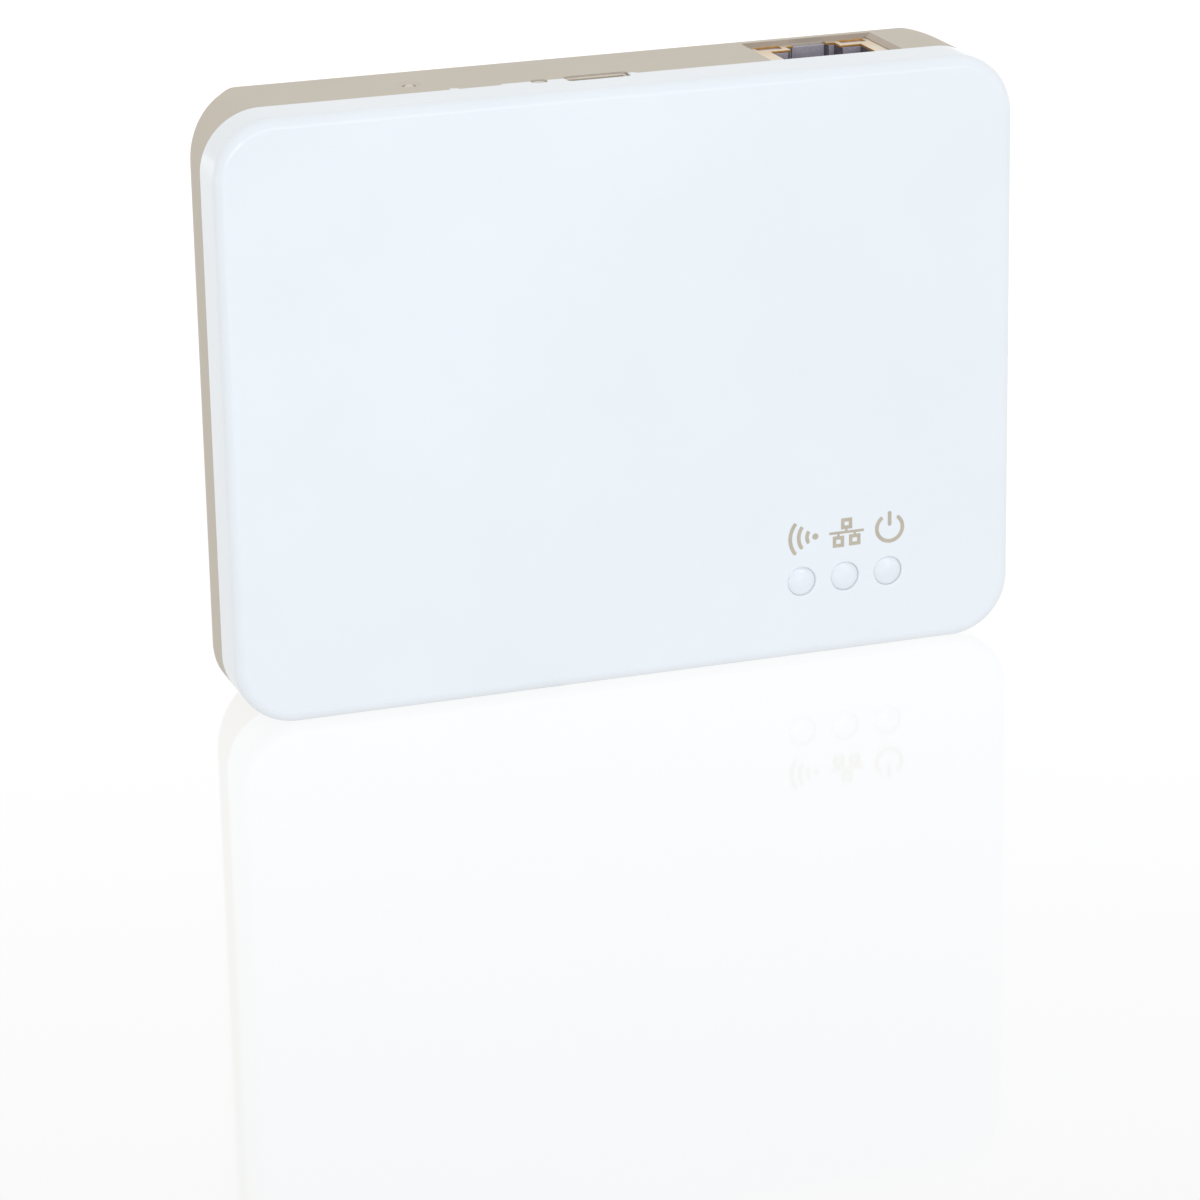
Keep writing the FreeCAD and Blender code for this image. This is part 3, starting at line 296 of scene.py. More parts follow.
# painted shade: a darker beige for the walls of the recess round the network socket, standing in for the shade that
# falls there
housingPaintedShade = finish("housingPaintedShade", (170, 157, 140), (176, 164, 148), 3, 0.22, 0.004, 0.6, 0.05)
footRubber = finish("footRubber", (74, 72, 70), (64, 62, 60), 2.5, 0.12, 0.01, 0.8, 0.06)
keyPlastic = finish("keyPlastic", (204, 195, 182), (208, 199, 187), 2, 0.2, 0.003, 0.45)
socketSteel = finish("socketSteel", (214, 204, 187), (204, 194, 177), 2, 0.12, 0.0015, 0.38, 0.08,
                     metal=0.3, stretch=(1, 1, 0.15))
socketPlastic = finish("socketPlastic", (44, 43, 46), (34, 33, 36), 1.5, 0.12, 0.004, 0.5)
contactGold = finish("contactGold", (222, 186, 106), (206, 166, 84), 1.2, 0.1, 0.001, 0.26, 0.06,
                     metal=1, stretch=(1, 1, 0.2))
print("main finishes made")


# front cover

cover = {"frontRadius": 1.4, "frontSteps": 12, "leaf": 0.82, "rabbet": 1.18, "bossRadius": 2.3, "bossRoot": 0.75,
         "screwHole": 1.02, "holeEnd": 1.35, "floorRadius": 0.4, "lensEdge": 0.22, "tongueRoot": 0.6}
softEdge = {"edge": 0.07, "steps": 3}    # on both halves of the case
tongue = {"x": (-12.95, 3.95), "reach": 0.5}
pryTab = {"x": (-19.3, -18.2), "reach": 0.6}


def outline(name, inset, near, far):
    slab = block(name, (inset - case["half"], case["half"] - inset), (near, far), (inset, case["height"] - inset))
    choose(slab, "EDGE", along(1))
    bpy.ops.mesh.bevel(offset=(case["corner"] - inset) * mm, segments=case["cornerSteps"], affect="EDGES")
    done()
    return slab


def chargeSlot():
    (half, thick), x, depth = charger["slotHalf"], charger["x"], charger["depth"]
    slot = block("slot", (x - half, x + half), (depth - thick, depth + thick),
                 (charger["bottom"], case["height"] + case["past"]))
    choose(slot, "EDGE", along(2))
    bpy.ops.mesh.bevel(offset=charger["slotCorner"] * mm, segments=8, affect="EDGES")
    done()
    return slot


def keyHole(key):
    radius = key["radius"] + key["gap"]
    ends = [(radius, key["holeFrom"]), (radius, case["height"] + case["past"])]
    return turned("hole", (key["x"], key["depth"], 0), 2, ends, 40)


def jackPocket():
    side, end = socket["sideGap"], socket["endGap"]
    half = socket["halfWidth"] + side
    return block("pocket", (socket["x"] - half, socket["x"] + half), (case["boardRear"] - side, socket["rear"] + end),
                 (socket["bottom"] - side, socket["top"] + end))


def makeFrontCover():
    top, seam, past = case["height"], case["seam"], case["past"]
    shell = outline("frontCover", 0, 0, seam)
    choose(shell, "EDGE", flat(1, 0))
    bpy.ops.mesh.bevel(offset=cover["frontRadius"] * mm, segments=cover["frontSteps"], affect="EDGES")
    choose(shell, "FACE", flat(1, seam))
    bpy.ops.mesh.inset(thickness=cover["leaf"] * mm)
    push(1, -cover["rabbet"])
    bpy.ops.mesh.inset(thickness=(case["wall"] - cover["leaf"]) * mm)
    push(1, -(seam - cover["rabbet"] - case["wall"]))
    choose(shell, "EDGE", flat(1, case["wall"]))
    bpy.ops.mesh.bevel(offset=cover["floorRadius"] * mm, segments=4, affect="EDGES")
    done()
    for part in (tongue, pryTab):
        combine(shell, block("part", part["x"], (seam - cover["tongueRoot"], seam + part["reach"]),
                             (top - cover["leaf"], top)), "UNION")
    for x in (-case["screwX"], case["screwX"]):
        for z in case["screwZ"]:
            combine(shell, turned("boss", (x, 0, z), 1, [(cover["bossRadius"], cover["bossRoot"]),
                                                         (cover["bossRadius"], case["boardFront"])]), "UNION")
            combine(shell, turned("hole", (x, 0, z), 1, [(cover["screwHole"], cover["holeEnd"]),
                                                         (cover["screwHole"], case["boardFront"] + past)], 32))
    for x in lensPlace["x"]:
        radius = lensPlace["radius"] + lensPlace["gap"]
        combine(shell, turned("hole", (x, 0, lensPlace["z"]), 1, [(radius, -past), (radius, lensPlace["holeEnd"])], 64))
        middle, reach = at(x, 0, lensPlace["z"]), 1.2 * radius * mm
        choose(shell, "EDGE", flat(1, 0), lambda edge: all((v.co - middle).length < reach for v in edge.verts))
        bpy.ops.mesh.bevel(offset=cover["lensEdge"] * mm, segments=6, affect="EDGES")
        done()
    combine(shell, chargeSlot())
    combine(shell, keyHole(resetKey))
    combine(shell, jackPocket())
    low, high = cardSlot["z"] - cardSlot["half"], cardSlot["z"] + cardSlot["half"]
    combine(shell, block("slot", (cardSlot["inner"], case["half"] + past), cardSlot["depth"], (low, high)))
    scoop = [(cardSlot["scoopRadius"], depth) for depth in cardSlot["scoopDepth"]]
    combine(shell, turned("scoop", (cardSlot["scoopX"], 0, cardSlot["z"]), 1, scoop, 96))
    finished(shell, **softEdge)
    dress(shell, coverPlastic)
    placed(shell, "case", "cover_plastic", "front_cover")
    return shell


frontCover = makeFrontCover()
print("front cover made,", len(frontCover.data.polygons), "faces")


# rear housing

housing = {"start": 7.05, "lip": 0.9, "lipFront": 5.9, "endRound": (7.2, 8.8), "rearRadius": 0.4,
           "fadePower": 1.5, "fadeEase": 0.8, "rows": 18, "hollowRows": 12, "hollowFrom": 4,
           "bossRadius": 2.5, "seat": 9.0, "screwHole": 1.2, "headHole": 1.95, "footHole": 3.05, "footFloor": 18.3,
           "sleeve": 1.75, "sleeveZ": (71.3, 73.2), "dishRadius": 1.6, "dishDepth": 0.35, "notchGap": 0.05,
           # shade: the box whose upright faces take the painted shade
           "shade": ((19.5, 6.9, 73.4), (40, 17.8, 74.01))}
bezel = {"half": 7.65, "mouthHalf": 10.045, "depth": (6, 17.6)}
ribs = [((-37.3, -36.3), (12.5, 17.9), (25.5, 41.5)), ((14.3, 15.3), (12.5, 17.9), (25.5, 41.5)),
        ((-19, -3), (15, 17.9), (61.8, 62.8)), ((-19, -3), (12.5, 17.9), (4.2, 5.2))]


def rearFade(turn):                      # 0 at the short ends, 1 along the top and bottom
    power, ease = housing["fadePower"], housing["fadeEase"]
    if turn < ease:
        return turn ** power
    left, rest = (1 - turn) / (1 - ease), 1 - ease ** power
    slope = power * ease ** (power - 1) * (1 - ease)
    return 1 - left ** 2 * (3 * rest - slope + (slope - 2 * rest) * left)


def rearForm(name, inset, near, rows):
    # the outline pushed back in rows, each then drawn in round the rear edge
    rear, start = case["rear"] - inset, case["rear"] - housing["endRound"][1]
    form = outline(name, inset, near, start)
    choose(form, "FACE", flat(1, start))
    for row in range(rows):
        push(1, (rear - start) / rows)
    done()
    sideX, sideZ = case["half"] - case["corner"], case["height"] / 2 - case["corner"]
    for vert in form.data.vertices:
        x, depth, z = where(vert)
        if depth < start - 0.01:
            continue
        angle = (depth - start) / (rear - start) * math.pi / 2
        outX, outZ = max(abs(x) - sideX, 0), max(abs(z - case["height"] / 2) - sideZ, 0)
        turn = math.atan2(outZ, outX)
        fade = rearFade(turn / (math.pi / 2))
        across, back = ((size - inset) * (1 - fade) + housing["rearRadius"] * fade for size in housing["endRound"])
        reach = case["corner"] - inset - across * (1 - math.cos(angle))
        vert.co = at(math.copysign(sideX + reach * math.cos(turn), x), rear - back * (1 - math.sin(angle)),
                     case["height"] / 2 + math.copysign(sideZ + reach * math.sin(turn), z - case["height"] / 2))
    return form


def makeRearHousing():
    top, past, gap = case["height"], case["past"], housing["notchGap"]
    shell = rearForm("rearHousing", 0, housing["start"], housing["rows"])
    choose(shell, "FACE", flat(1, housing["start"]))
    bpy.ops.mesh.inset(thickness=housing["lip"] * mm)
    push(1, housing["lipFront"] - housing["start"])
    done()
    combine(shell, rearForm("hollow", case["wall"], housing["hollowFrom"], housing["hollowRows"]))
    for x in (-case["screwX"], case["screwX"]):
        for z in case["screwZ"]:
            combine(shell, turned("boss", (x, 0, z), 1, [(housing["bossRadius"], case["boardRear"]),
                                                         (housing["bossRadius"], housing["footFloor"])]), "UNION")
            for hole, near, far, sides in (("screwHole", case["boardFront"], housing["seat"] + past, 32),
                                           ("headHole", housing["seat"], case["rear"] + past, 40),
                                           ("footHole", housing["footFloor"], case["rear"] + past, 64)):
                combine(shell, turned("hole", (x, 0, z), 1, [(housing[hole], near), (housing[hole], far)], sides))
    x, depth = pairingKey["x"], pairingKey["depth"]
    sleeve = [(housing["sleeve"], z) for z in housing["sleeveZ"]]
    combine(shell, turned("sleeve", (x, depth, 0), 2, sleeve, 40), "UNION")
    for rib in ribs:
        combine(shell, block("rib", *rib), "UNION")
    combine(shell, chargeSlot())
    combine(shell, keyHole(resetKey))
    combine(shell, jackPocket())
    combine(shell, jackBezel())
    for part in (tongue, pryTab):
        combine(shell, block("notch", (part["x"][0] - gap, part["x"][1] + gap),
                             (case["seam"] - gap, case["seam"] + part["reach"] + gap),
                             (top - cover["leaf"] - gap, top + past)))
    combine(shell, keyHole(pairingKey))
    ball = (housing["dishRadius"] ** 2 + housing["dishDepth"] ** 2) / (2 * housing["dishDepth"])
    bpy.ops.mesh.primitive_uv_sphere_add(segments=96, ring_count=96, radius=ball * mm,
                                         location=at(x, depth, top + ball - housing["dishDepth"]))
    dish = bpy.context.object
    bpy.ops.object.transform_apply(location=True, rotation=True, scale=True)
    combine(shell, dish)
    finished(shell, **softEdge)
    dress(shell, housingPlastic, housingPaintedShade)
    # the recess walls round the network socket get the painted shade
    paint(shell, 1, within(*housing["shade"]), lambda face: abs(face.normal.z) < 0.9)
    placed(shell, "case", "housing_plastic", "rear_housing")
    return shell


def jackBezel():
    x, half, mouth = socket["x"], bezel["half"], case["height"] + case["past"]
    wedge = block("bezel", (x - half, x + half), bezel["depth"], (socket["top"], mouth))
    choose(wedge, "FACE", flat(2, mouth))
    bpy.ops.transform.resize(value=(bezel["mouthHalf"] / half, 1, 1),
                             center_override=at(x, sum(bezel["depth"]) / 2, mouth))
    done()
    return wedge


rearHousing = makeRearHousing()
print("rear housing made,", len(rearHousing.data.polygons), "faces")


# feet

foot = {"radius": 3.0, "floor": 18.3, "stand": 19.5, "edge": 0.3}


def makeFeet():
    arc = [(foot["radius"] - foot["edge"] * (1 - math.cos(a)), foot["stand"] - foot["edge"] * (1 - math.sin(a)))
           for a in (math.radians(15 * k) for k in range(7))]
    first = turned("rubberFeet", (-case["screwX"], 0, case["screwZ"][0]), 1,
                   [(foot["radius"], foot["floor"])] + arc, 64)
    across, up = 2 * case["screwX"], case["screwZ"][1] - case["screwZ"][0]
    feet = [first] + [copied(first, shift) for shift in ((across, 0, 0), (0, 0, up), (across, 0, up))]
    feet = joined("rubberFeet", feet)
    finished(feet, 0)
    dress(feet, footRubber)
    placed(feet, "case", "foot_rubber", "rubber_feet")


makeFeet()


# indicators

lens = {"crown": 0.28, "end": 4.35, "flange": 2.3, "flangeDepth": (1.5, 2.1), "radius": 1.81, "rings": 8,
        "rim": ((0, 0.05), (0.015, 0.015), (0.05, -0.01))}    # inwards, and back from the crown's edge


def makeLenses():
    radius, z, crown = lens["radius"], lensPlace["z"], lens["crown"]
    ball = (radius ** 2 + crown ** 2) / (2 * crown)
    dome = []
    for step in range(1, lens["rings"]):
        out = radius * (1 - step / lens["rings"])
        dome.append((out, ball - math.sqrt(ball ** 2 - out ** 2)))
    near, far = lens["flangeDepth"]
    profile = [(lensPlace["radius"], lens["end"]), (lensPlace["radius"], far), (lens["flange"], far),
               (lens["flange"], near), (radius, near)]
    profile += [(radius - inward, crown + back) for inward, back in lens["rim"]]
    first = turned("wirelessLens", (lensPlace["x"][0], 0, z), 1, profile + dome, 64)
    finished(first, 0, smooth=50)
    dress(first, lensPlastic)
    pitch = lensPlace["x"][1] - lensPlace["x"][0]
    second, third = copied(first, (pitch, 0, 0)), copied(first, (2 * pitch, 0, 0))
    second.name, third.name = "networkLens", "powerLens"
    for piece, node in ((first, "wireless_lens"), (second, "network_lens"), (third, "power_lens")):
        placed(piece, "case", "lens_plastic", node)


makeLenses()
print("indicators made")


# printed signs above the indicators

sign = {
    "depth": (-0.02, 0.01), "stroke": 0.48, "square": 0.45, "fine": 0.33, "endRound": 0.48,
    "dot": (23.92, 15.53, 0.4),
    "arcs": ((23.66, 15.47, 3.06, 40.5, 12), (24.06, 15.53, 2.34, 37, 8), (24.18, 15.51, 1.37, 34, 5)),
    "line": (25.75, 30.35), "lineZ": 15.63, "stems": (28.02, 26.98, 29.15),
    "squares": (((27.33, 28.8), (16.02, 17.43)), ((26.23, 27.73), (13.75, 15.2)), ((28.38, 29.9), (13.81, 15.25))),
    "ring": (33.79, 15.485, 1.71), "ringGap": 35, "bar": (15.74, 17.65),
}


def stroke(xs, zs):
    return block("stroke", xs, sign["depth"], zs)


def roundEnds(bar, width):
    choose(bar, "EDGE", along(1), lambda edge: edge.calc_face_angle(0) > math.radians(60))
    bpy.ops.mesh.bevel(offset=sign["endRound"] * width * mm, segments=4, affect="EDGES")
    done()
    return bar


def ringStroke(x, z, radius, start, end, width, steps):
    # a short flat bar spun round the centre, then turned to where the stroke starts
    middle = at(x, 0, z)
    bar = stroke((x + radius - width / 2, x + radius + width / 2), (z - 0.02, z))
    choose(bar, "FACE", flat(2, z))
    bpy.ops.mesh.spin(steps=steps, angle=math.radians(end - start), center=middle, axis=(0, 1, 0))
    bpy.ops.mesh.select_all(action="SELECT")
    bpy.ops.mesh.normals_make_consistent(inside=False)
    done()
    roundEnds(bar, width)
    bar.data.transform(Matrix.Translation(middle) @ Matrix.Rotation(-math.radians(start), 4, "Y")
                       @ Matrix.Translation(-middle))
    return bar


def hollowSquare(xs, zs, width):
    square = stroke(xs, zs)
    choose(square, "FACE", lambda face: abs(face.normal.y) > 0.9)
    bpy.ops.mesh.inset(thickness=width * mm, use_individual=True)
    bpy.ops.mesh.bridge_edge_loops()
    done()
    return square


def dot(x, z, radius):
    return turned("dot", (x, 0, z), 1, [(radius, depth) for depth in reversed(sign["depth"])], 32)


def makeSigns():
    wide, fine = sign["stroke"], sign["fine"]
    wireless = [dot(*sign["dot"])]
    for x, z, radius, half, steps in sign["arcs"]:
        wireless.append(ringStroke(x, z, radius, 180 - half, 180 + half, wide, steps))
    low, high = sign["lineZ"] - fine / 2, sign["lineZ"] + fine / 2
    network = [stroke(sign["line"], (low, high))]
    network += [hollowSquare(xs, zs, sign["square"]) for xs, zs in sign["squares"]]
    for x, (xs, zs) in zip(sign["stems"], sign["squares"]):
        ends = (high, zs[0]) if zs[0] > high else (zs[1], low)
        network.append(stroke((x - fine / 2, x + fine / 2), ends))
    x, z, radius = sign["ring"]
    power = [ringStroke(x, z, radius, 90 + sign["ringGap"], 450 - sign["ringGap"], wide, 24),
             roundEnds(stroke((x - wide / 2, x + wide / 2), sign["bar"]), wide)]
    for name, parts in (("wirelessSign", wireless), ("networkSign", network), ("powerSign", power)):
        piece = joined(name, parts)
        finished(piece, 0)
        dress(piece, signInk)
        placed(piece, "case", "lens_plastic")


makeSigns()
print("signs made")


# network socket

jack = {"sheet": 0.25, "foldRadius": 0.45, "plug": 5.95, "plugDepth": (7.2, 14.2), "latch": 3.25, "latchEnd": 16.2,
        "key": 2.2, "keyEnd": 16.9, "down": 13.2, "slotX": (3.9, 7.1), "slotDepth": (15.35, 16.95),
        "notch": 0.8, "notchDepth": 2.2, "shoulder": 0.45, "rimRadius": 0.2, "legReach": 0.6, "legDown": (9.8, 8.2),
        "pegX": 5, "pegDown": 13.5, "peg": (1.5, 4.9, 7), "pegHole": (1.6, 5, 6.6),
        "cutInset": 0.4, "cutHalf": 7.3, "shadeHalf": 7.4, "shadeDepth": (6.9, 17.1)}


def plugSpace(top, shoulder):
    # the plug's space, with the steps for its latch behind it
    x, low, past = socket["x"], socket["top"] - jack["down"], case["past"]
    front, body = jack["plugDepth"]
    space = block("space", (x - jack["plug"], x + jack["plug"]), (front, body), (low, top + past))
    for step, end in (("latch", "latchEnd"), ("key", "keyEnd")):
        combine(space, block(step, (x - jack[step], x + jack[step]), (body - past, jack[end]),
                             (low, top + past)), "UNION")
    if shoulder:
        choose(space, "EDGE", along(2), lambda edge: any(
            abs(abs(where(edge.verts[0])[0] - x) - half) < 0.01 and abs(where(edge.verts[0])[1] - step) < 0.01
            for half, step in ((jack["key"], jack["latchEnd"]), (jack["latch"], body))))
        bpy.ops.mesh.bevel(offset=shoulder * mm, segments=6, affect="EDGES")
        done()
    return space


def makePeg(side, size):
    radius, near, far = size
    return turned("peg", (socket["x"] + side * jack["pegX"], 0, socket["top"] - jack["pegDown"]), 1,
                  [(radius, near), (radius, far)], 40)


def makeJackShield():
    x, sheet, past = socket["x"], jack["sheet"], case["past"]
    half, top, low = socket["halfWidth"], socket["top"], socket["bottom"]
    shield = block("jackShield", (x - half, x + half), (case["boardRear"], socket["rear"]), (low, top))
    choose(shield, "EDGE", along(2))
    bpy.ops.mesh.bevel(offset=jack["foldRadius"] * mm, segments=5, affect="EDGES")
    choose(shield, "EDGE", flat(2, top))
    bpy.ops.mesh.bevel(offset=jack["rimRadius"] * mm, segments=4, affect="EDGES")
    done()
    inside = block("inside", (x - half + sheet, x + half - sheet), (case["boardRear"] + sheet, socket["rear"] - sheet),
                   (low + sheet, top - sheet))
    choose(inside, "EDGE", along(2))
    bpy.ops.mesh.bevel(offset=(jack["foldRadius"] - sheet) * mm, segments=4, affect="EDGES")
    done()
    combine(shield, inside)
    combine(shield, plugSpace(top, 0))
    combine(shield, block("notch", (x - jack["key"], x + jack["key"]),
                          (socket["rear"] - jack["notchDepth"], socket["rear"] + past),
                          (top - jack["notch"], top + past)))
    near, far = jack["slotX"]
    for side in (-1, 1):
        ends = sorted((x + side * near, x + side * far))
        combine(shield, block("slot", ends, jack["slotDepth"], (top - 3 * sheet, top + past)))
    for side in (-1, 1):                 # the two legs that stand through the board
        edge = x + side * half
        ends = sorted((edge, edge - side * sheet))
        reach, (upper, lower) = jack["legReach"], jack["legDown"]
        combine(shield, block("leg", ends, (case["boardFront"] - reach, case["boardRear"] + reach),
                              (top - upper, top - lower)), "UNION")
        combine(shield, makePeg(side, jack["pegHole"]))
    finished(shield, 0.035)
    dress(shield, jackSteel, cutCopper)
    side, near = half - jack["cutInset"], case["boardRear"] + jack["cutInset"]
    inner = within((x - side, near, top - sheet - 0.01), (x + side, socket["rear"] - 0.05, top + 0.01))
    paint(shield, 1, inner, lambda face: abs(face.normal.z) < 0.5,
          lambda face: abs(face.calc_center_median().x / mm - x) < jack["cutHalf"])
    placed(shield, "case", "jack_steel", "network_jack_shield")


def makeJackInsert():
    x, sheet = socket["x"], jack["sheet"]
    half, top, low = socket["halfWidth"] - sheet, socket["top"] - sheet, socket["bottom"] + sheet
    body = block("jackInsert", (x - half, x + half), (case["boardRear"] + sheet, socket["rear"] - sheet), (low, top))
    combine(body, plugSpace(top, jack["shoulder"]))
    for side in (-1, 1):
        combine(body, makePeg(side, jack["peg"]), "UNION")
    finished(body, 0.12, 3)
    dress(body, jackPlastic, jackPaintedShade)
    # the insert's side walls inside this box take the painted shade
    wide, (near, far) = jack["shadeHalf"], jack["shadeDepth"]
    paint(body, 1, lambda face: abs(face.normal.x) > 0.35, within((x - wide, near, low), (x + wide, far, top)))
    placed(body, "case", "jack_plastic", "network_jack_insert")


makeJackShield()
makeJackInsert()
print("network socket made")


# keys

def rounding(radius, edge, top, steps=6):
    return [(radius - edge * (1 - math.cos(a)), top - edge * (1 - math.sin(a)))
            for a in (math.pi / 2 * k / steps for k in range(steps + 1))]


def makeKeys():
    x, depth, radius = resetKey["x"], resetKey["depth"], resetKey["radius"]
    wide, (low, high) = resetKey["flange"], resetKey["flangeZ"]
    profile = [(wide, low), (wide, high), (radius, high)] + rounding(radius, resetKey["edge"], resetKey["top"])
    key = turned("resetKey", (x, depth, 0), 2, profile, 48)
    finished(key, 0)
    dress(key, keyPlastic)
    placed(key, "reset_key", "key_plastic", "reset_button")
    x, depth, radius, half = pairingKey["x"], pairingKey["depth"], pairingKey["radius"], pairingKey["armHalf"]
    profile = [(radius, pairingKey["bottom"])] + rounding(radius, pairingKey["edge"], pairingKey["top"], 8)
    key = turned("pairingKey", (x, depth, 0), 2, profile, 48)
    combine(key, block("arm", (x - half, x + half), pairingKey["armDepth"], pairingKey["armZ"]), "UNION")
    finished(key, 0.05)
    dress(key, keyPlastic)
    placed(key, "pairing_key", "key_plastic", "pairing_button")


makeKeys()
print("keys made")


# charging socket

charge = {"half": 3.75, "depthHalf": 1.25, "cut": 0.7, "rearRadius": 0.35, "wall": 0.25, "floor": 69.8,
          "footX": (-0.2, 0.8), "footSheet": 0.25, "footHeight": 1.6, "flare": 0.2, "fit": 0.01,
          "bladeHalf": (2.3, 0.3), "bladeRoot": 0.5, "bladeTop": 72.8}


def makeChargeSocket():
    x, depth, top, low = charger["x"], charger["depth"], charger["top"], charger["bottom"]
    half, thick, wall = charge["half"], charge["depthHalf"], charge["wall"]
    shell = block("chargeShell", (x - half, x + half), (depth - thick, depth + thick), (low, top))
    choose(shell, "EDGE", along(2), flat(1, depth - thick))
    bpy.ops.mesh.bevel(offset=charge["cut"] * mm, segments=3, affect="EDGES")
    choose(shell, "EDGE", along(2), flat(1, depth + thick))
    bpy.ops.mesh.bevel(offset=charge["rearRadius"] * mm, segments=5, affect="EDGES")
    choose(shell, "FACE", lambda face: abs(face.normal.z) > 0.9)
    bpy.ops.mesh.inset(thickness=wall * mm, use_individual=True)
    bpy.ops.mesh.bridge_edge_loops()
    done()
    inside = within((x - half + wall, depth - thick + wall, top), (x + half - wall, depth + thick - wall, top))
    choose(shell, "EDGE", flat(2, top), inside)
    bpy.ops.mesh.bevel(offset=charge["flare"] * mm, segments=3, affect="EDGES")
    done()
    for side in (-1, 1):
        ends = sorted(x + side * (half + out) for out in charge["footX"])
        combine(shell, block("foot", ends, (case["boardRear"], case["boardRear"] + charge["footSheet"]),
                             (low, low + charge["footHeight"])), "UNION")
    finished(shell, 0.04)
    dress(shell, socketSteel)
    placed(shell, "case", "socket_steel", "charging_socket_shell")
    inset = wall + charge["fit"]
    near, far = depth - thick + inset, depth + thick - inset
    blade = block("chargeBlade", (x - half + inset, x + half - inset), (near, far), (low, charge["floor"]))
    choose(blade, "EDGE", along(2), flat(1, near))
    bpy.ops.mesh.bevel(offset=charge["cut"] * mm, segments=3, affect="EDGES")
    done()
    wide, thick = charge["bladeHalf"]
    combine(blade, block("blade", (x - wide, x + wide), (depth - thick, depth + thick),
                         (low + charge["bladeRoot"], charge["bladeTop"])), "UNION")
    finished(blade, 0.07)
    dress(blade, socketPlastic)
    placed(blade, "case", "socket_plastic", "charging_socket_blade")


makeChargeSocket()
print("charging socket made")


# what the frame's own nodes keep showing

boardLaminate = finish("boardLaminate", (28, 84, 58), (34, 96, 66), 3, 0.3, 0.004, 0.35, 0.08, coat=0.3)
chipEpoxy = finish("chipEpoxy", (38, 38, 40), (46, 46, 48), 1.5, 0.12, 0.006, 0.6, 0.06)
shieldTin = finish("shieldTin", (206, 206, 202), (188, 188, 184), 6, 0.2, 0.002, 0.34, 0.08,
                   metal=1, stretch=(0.2, 1, 1))
crystalMetal = finish("crystalMetal", (200, 198, 190), (184, 182, 174), 1.5, 0.1, 0.001, 0.28, 0.06, metal=1)
screwSteel = finish("screwSteel", (164, 164, 166), (146, 146, 150), 1, 0.1, 0.002, 0.35, 0.08, metal=1)
bafflePlastic = finish("bafflePlastic", (236, 236, 232), (228, 228, 224), 2, 0.15, 0.004, 0.6)
ledResin = finish("ledResin", (244, 236, 190), (250, 244, 214), 0.6, 0.1, 0.001, 0.25, 0.05)
switchPlastic = finish("switchPlastic", (40, 40, 42), (48, 48, 50), 1.2, 0.12, 0.005, 0.55)
plungerPlastic = finish("plungerPlastic", (236, 234, 226), (226, 224, 216), 1, 0.12, 0.004, 0.5)
cardPlastic = finish("cardPlastic", (238, 239, 238), (230, 231, 231), 3, 0.15, 0.003, 0.45)
cardSocketPlastic = finish("cardSocketPlastic", (32, 32, 34), (40, 40, 42), 1.5, 0.12, 0.005, 0.55)
inductorFerrite = finish("inductorFerrite", (70, 68, 66), (84, 82, 80), 0.8, 0.1, 0.015, 0.75)
tantalumEpoxy = finish("tantalumEpoxy", (206, 154, 58), (194, 142, 48), 1.5, 0.12, 0.005, 0.5)
ceramicBody = finish("ceramicBody", (176, 150, 120), (190, 164, 132), 0.5, 0.1, 0.003, 0.5)
cellLaminate = finish("cellLaminate", (188, 192, 198), (174, 178, 184), 8, 0.6, 0.01, 0.42, 0.08, metal=0.7)
padFoam = finish("padFoam", (52, 52, 54), (66, 66, 68), 0.6, 0.25, 0.06, 0.95)
heatPad = finish("heatPad", (150, 176, 200), (142, 168, 192), 2, 0.2, 0.01, 0.8)
batteryConnector = finish("batteryConnector", (236, 230, 210), (226, 220, 200), 1.2, 0.12, 0.004, 0.55)
leadSleeve = finish("leadSleeve", (172, 40, 36), (158, 32, 30), 2, 0.15, 0.004, 0.5)
coaxSleeve = finish("coaxSleeve", (44, 44, 46), (54, 54, 56), 2, 0.15, 0.004, 0.5)
antennaFilm = finish("antennaFilm", (196, 130, 62), (206, 142, 74), 4, 0.3, 0.003, 0.4)
nodeFinishes = {
    "network_jack_contacts": contactGold, "charging_socket_contacts": contactGold,
    "main_board": boardLaminate, "modem_board": boardLaminate, "battery_protection_board": boardLaminate,
    "housing_screws": screwSteel, "light_baffle": bafflePlastic,
    "wireless_led": ledResin, "network_led": ledResin, "power_led": ledResin,
    "reset_switch_body": switchPlastic, "pairing_switch_body": switchPlastic,
    "reset_switch_plunger": plungerPlastic, "pairing_switch_plunger": plungerPlastic,
    "sim_card": cardPlastic, "sim_socket_base": cardSocketPlastic, "sim_socket_shell": shieldTin,
    "sim_socket_contacts": contactGold, "network_transformer": chipEpoxy, "charger_chip": chipEpoxy,
    "crystals": crystalMetal, "power_inductors": inductorFerrite, "tantalum_capacitors": tantalumEpoxy,
    "ceramic_capacitors": ceramicBody, "battery_cell": cellLaminate, "battery_foam_pads": padFoam,
    "battery_socket": batteryConnector, "battery_plug": batteryConnector, "battery_leads": leadSleeve,
    "coax_plugs": contactGold, "coax_sockets": contactGold, "processor": chipEpoxy, "memory_chip": chipEpoxy,
    "flash_chip": chipEpoxy, "processor_heat_pad": heatPad, "processor_shield": shieldTin,
    "modem_shield": shieldTin, "wifi_radio": chipEpoxy, "wifi_shield": shieldTin,
    "cellular_antenna": antennaFilm, "diversity_antenna": antennaFilm, "wifi_antenna_left": antennaFilm,
    "wifi_antenna_right": antennaFilm, "cellular_coax": coaxSleeve, "diversity_coax": coaxSleeve,
    "wifi_left_coax": coaxSleeve, "wifi_right_coax": coaxSleeve,
}
for node, material in nodeFinishes.items():
    dress(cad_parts[node], material)
print("inner parts finished")


# floor, light and camera

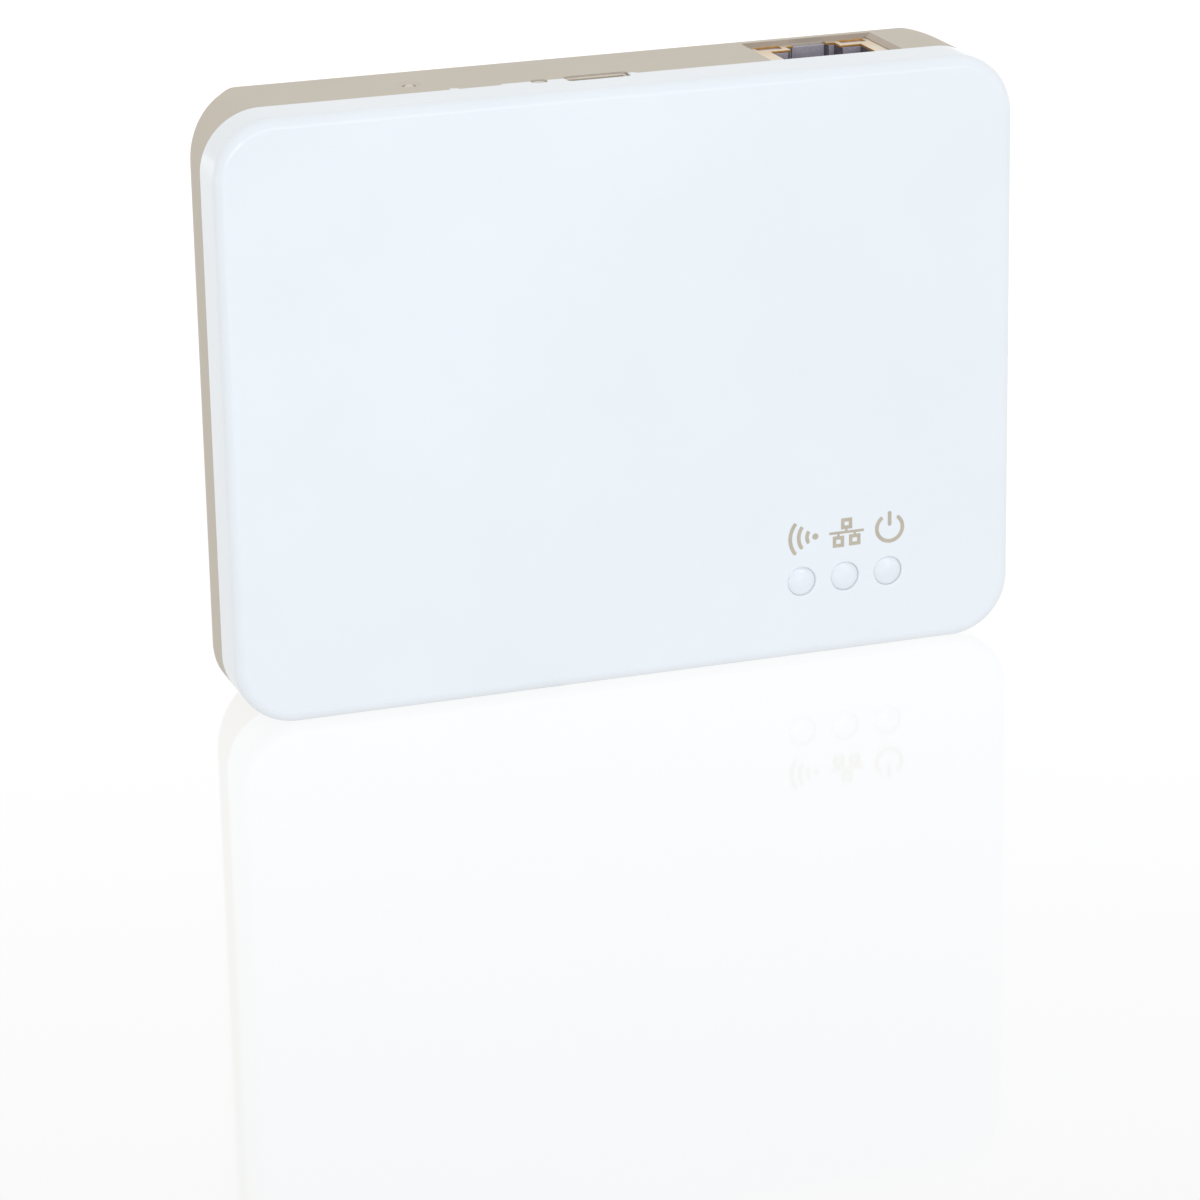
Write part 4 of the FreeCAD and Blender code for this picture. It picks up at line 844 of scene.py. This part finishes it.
studio = {"floorHalf": 6.0, "floorTone": 0.04, "floorRough": 0.06, "floorGlow": 0.8, "world": 1.0}
lamps = {                    # aim is the side and height it stands at, in degrees
    "softbox": {"aim": (-5, 11), "distance": 1.2, "size": (1.0, 0.2), "power": 1.6, "tint": (1, 1, 1)},
    "cornerLight": {"aim": (-14, 12.5), "distance": 1.2, "size": (0.1, 0.06), "power": 0.3, "tint": (1, 1, 1)},
    "edgeLight": {"aim": (21, 4.5), "distance": 1.2, "size": (0.3, 0.03), "power": 0.3, "tint": (1, 1, 1)},
    "frontFill": {"aim": (-10, 15), "distance": 2.0, "size": (2.4, 1.6), "power": 6.0, "tint": (0.35, 0.5, 1.0)},
}

# place in metres and turns in degrees, fitted to the photograph's outline
fitted = {"lens": 139.6, "place": (-0.1749, -0.51865, 0.1925), "turns": (-18.54, 90 - 18.70, -1.07)}


def makeFloor():
    bpy.ops.object.select_all(action="DESELECT")
    bpy.ops.mesh.primitive_plane_add(size=2 * studio["floorHalf"], location=(0, 0, 0))
    floor = bpy.context.object
    floor.name = "floor"
    material = bpy.data.materials.new("floorWhite")
    material.use_nodes = True
    shader = material.node_tree.nodes["Principled BSDF"]
    shader.inputs["Base Color"].default_value = (*[studio["floorTone"]] * 3, 1)
    shader.inputs["Roughness"].default_value = studio["floorRough"]
    shader.inputs["Emission Color"].default_value = (1, 1, 1, 1)
    shader.inputs["Emission Strength"].default_value = studio["floorGlow"]
    dress(floor, material)


def makeLight():
    world = bpy.data.worlds.new("studio")
    bpy.context.scene.world = world
    world.use_nodes = True
    world.node_tree.nodes["Background"].inputs["Color"].default_value = (1, 1, 1, 1)
    world.node_tree.nodes["Background"].inputs["Strength"].default_value = studio["world"]
    for name, lamp in lamps.items():
        side, up = (math.radians(a) for a in lamp["aim"])
        away = Vector((math.sin(side) * math.cos(up), -math.cos(side) * math.cos(up), math.sin(up)))
        light = bpy.data.lights.new(name, "AREA")
        light.shape, light.energy, light.color = "RECTANGLE", lamp["power"], lamp["tint"]
        light.size, light.size_y = lamp["size"]
        stand = bpy.data.objects.new(name, light)
        stand.location = at(0, frontToMiddle, case["height"] / 2) + away * lamp["distance"]
        stand.rotation_euler = (-away).to_track_quat("-Z", "Z").to_euler()
        stand.visible_camera = False
        bpy.context.scene.collection.objects.link(stand)
    bpy.context.scene.view_settings.view_transform = "Standard"


def makeCamera():
    view = bpy.data.cameras.new("camera")
    view.lens, view.sensor_width, view.clip_start = fitted["lens"], 36, 0.01
    camera = bpy.data.objects.new("camera", view)
    stand = Matrix.Translation(fitted["place"])
    for angle, axis in zip(fitted["turns"], "ZXZ"):
        stand = stand @ Matrix.Rotation(math.radians(angle), 4, axis)
    camera.matrix_world = stand
    bpy.context.scene.collection.objects.link(camera)
    bpy.context.scene.camera = camera


makeFloor()
makeLight()
makeCamera()
print("studio made")
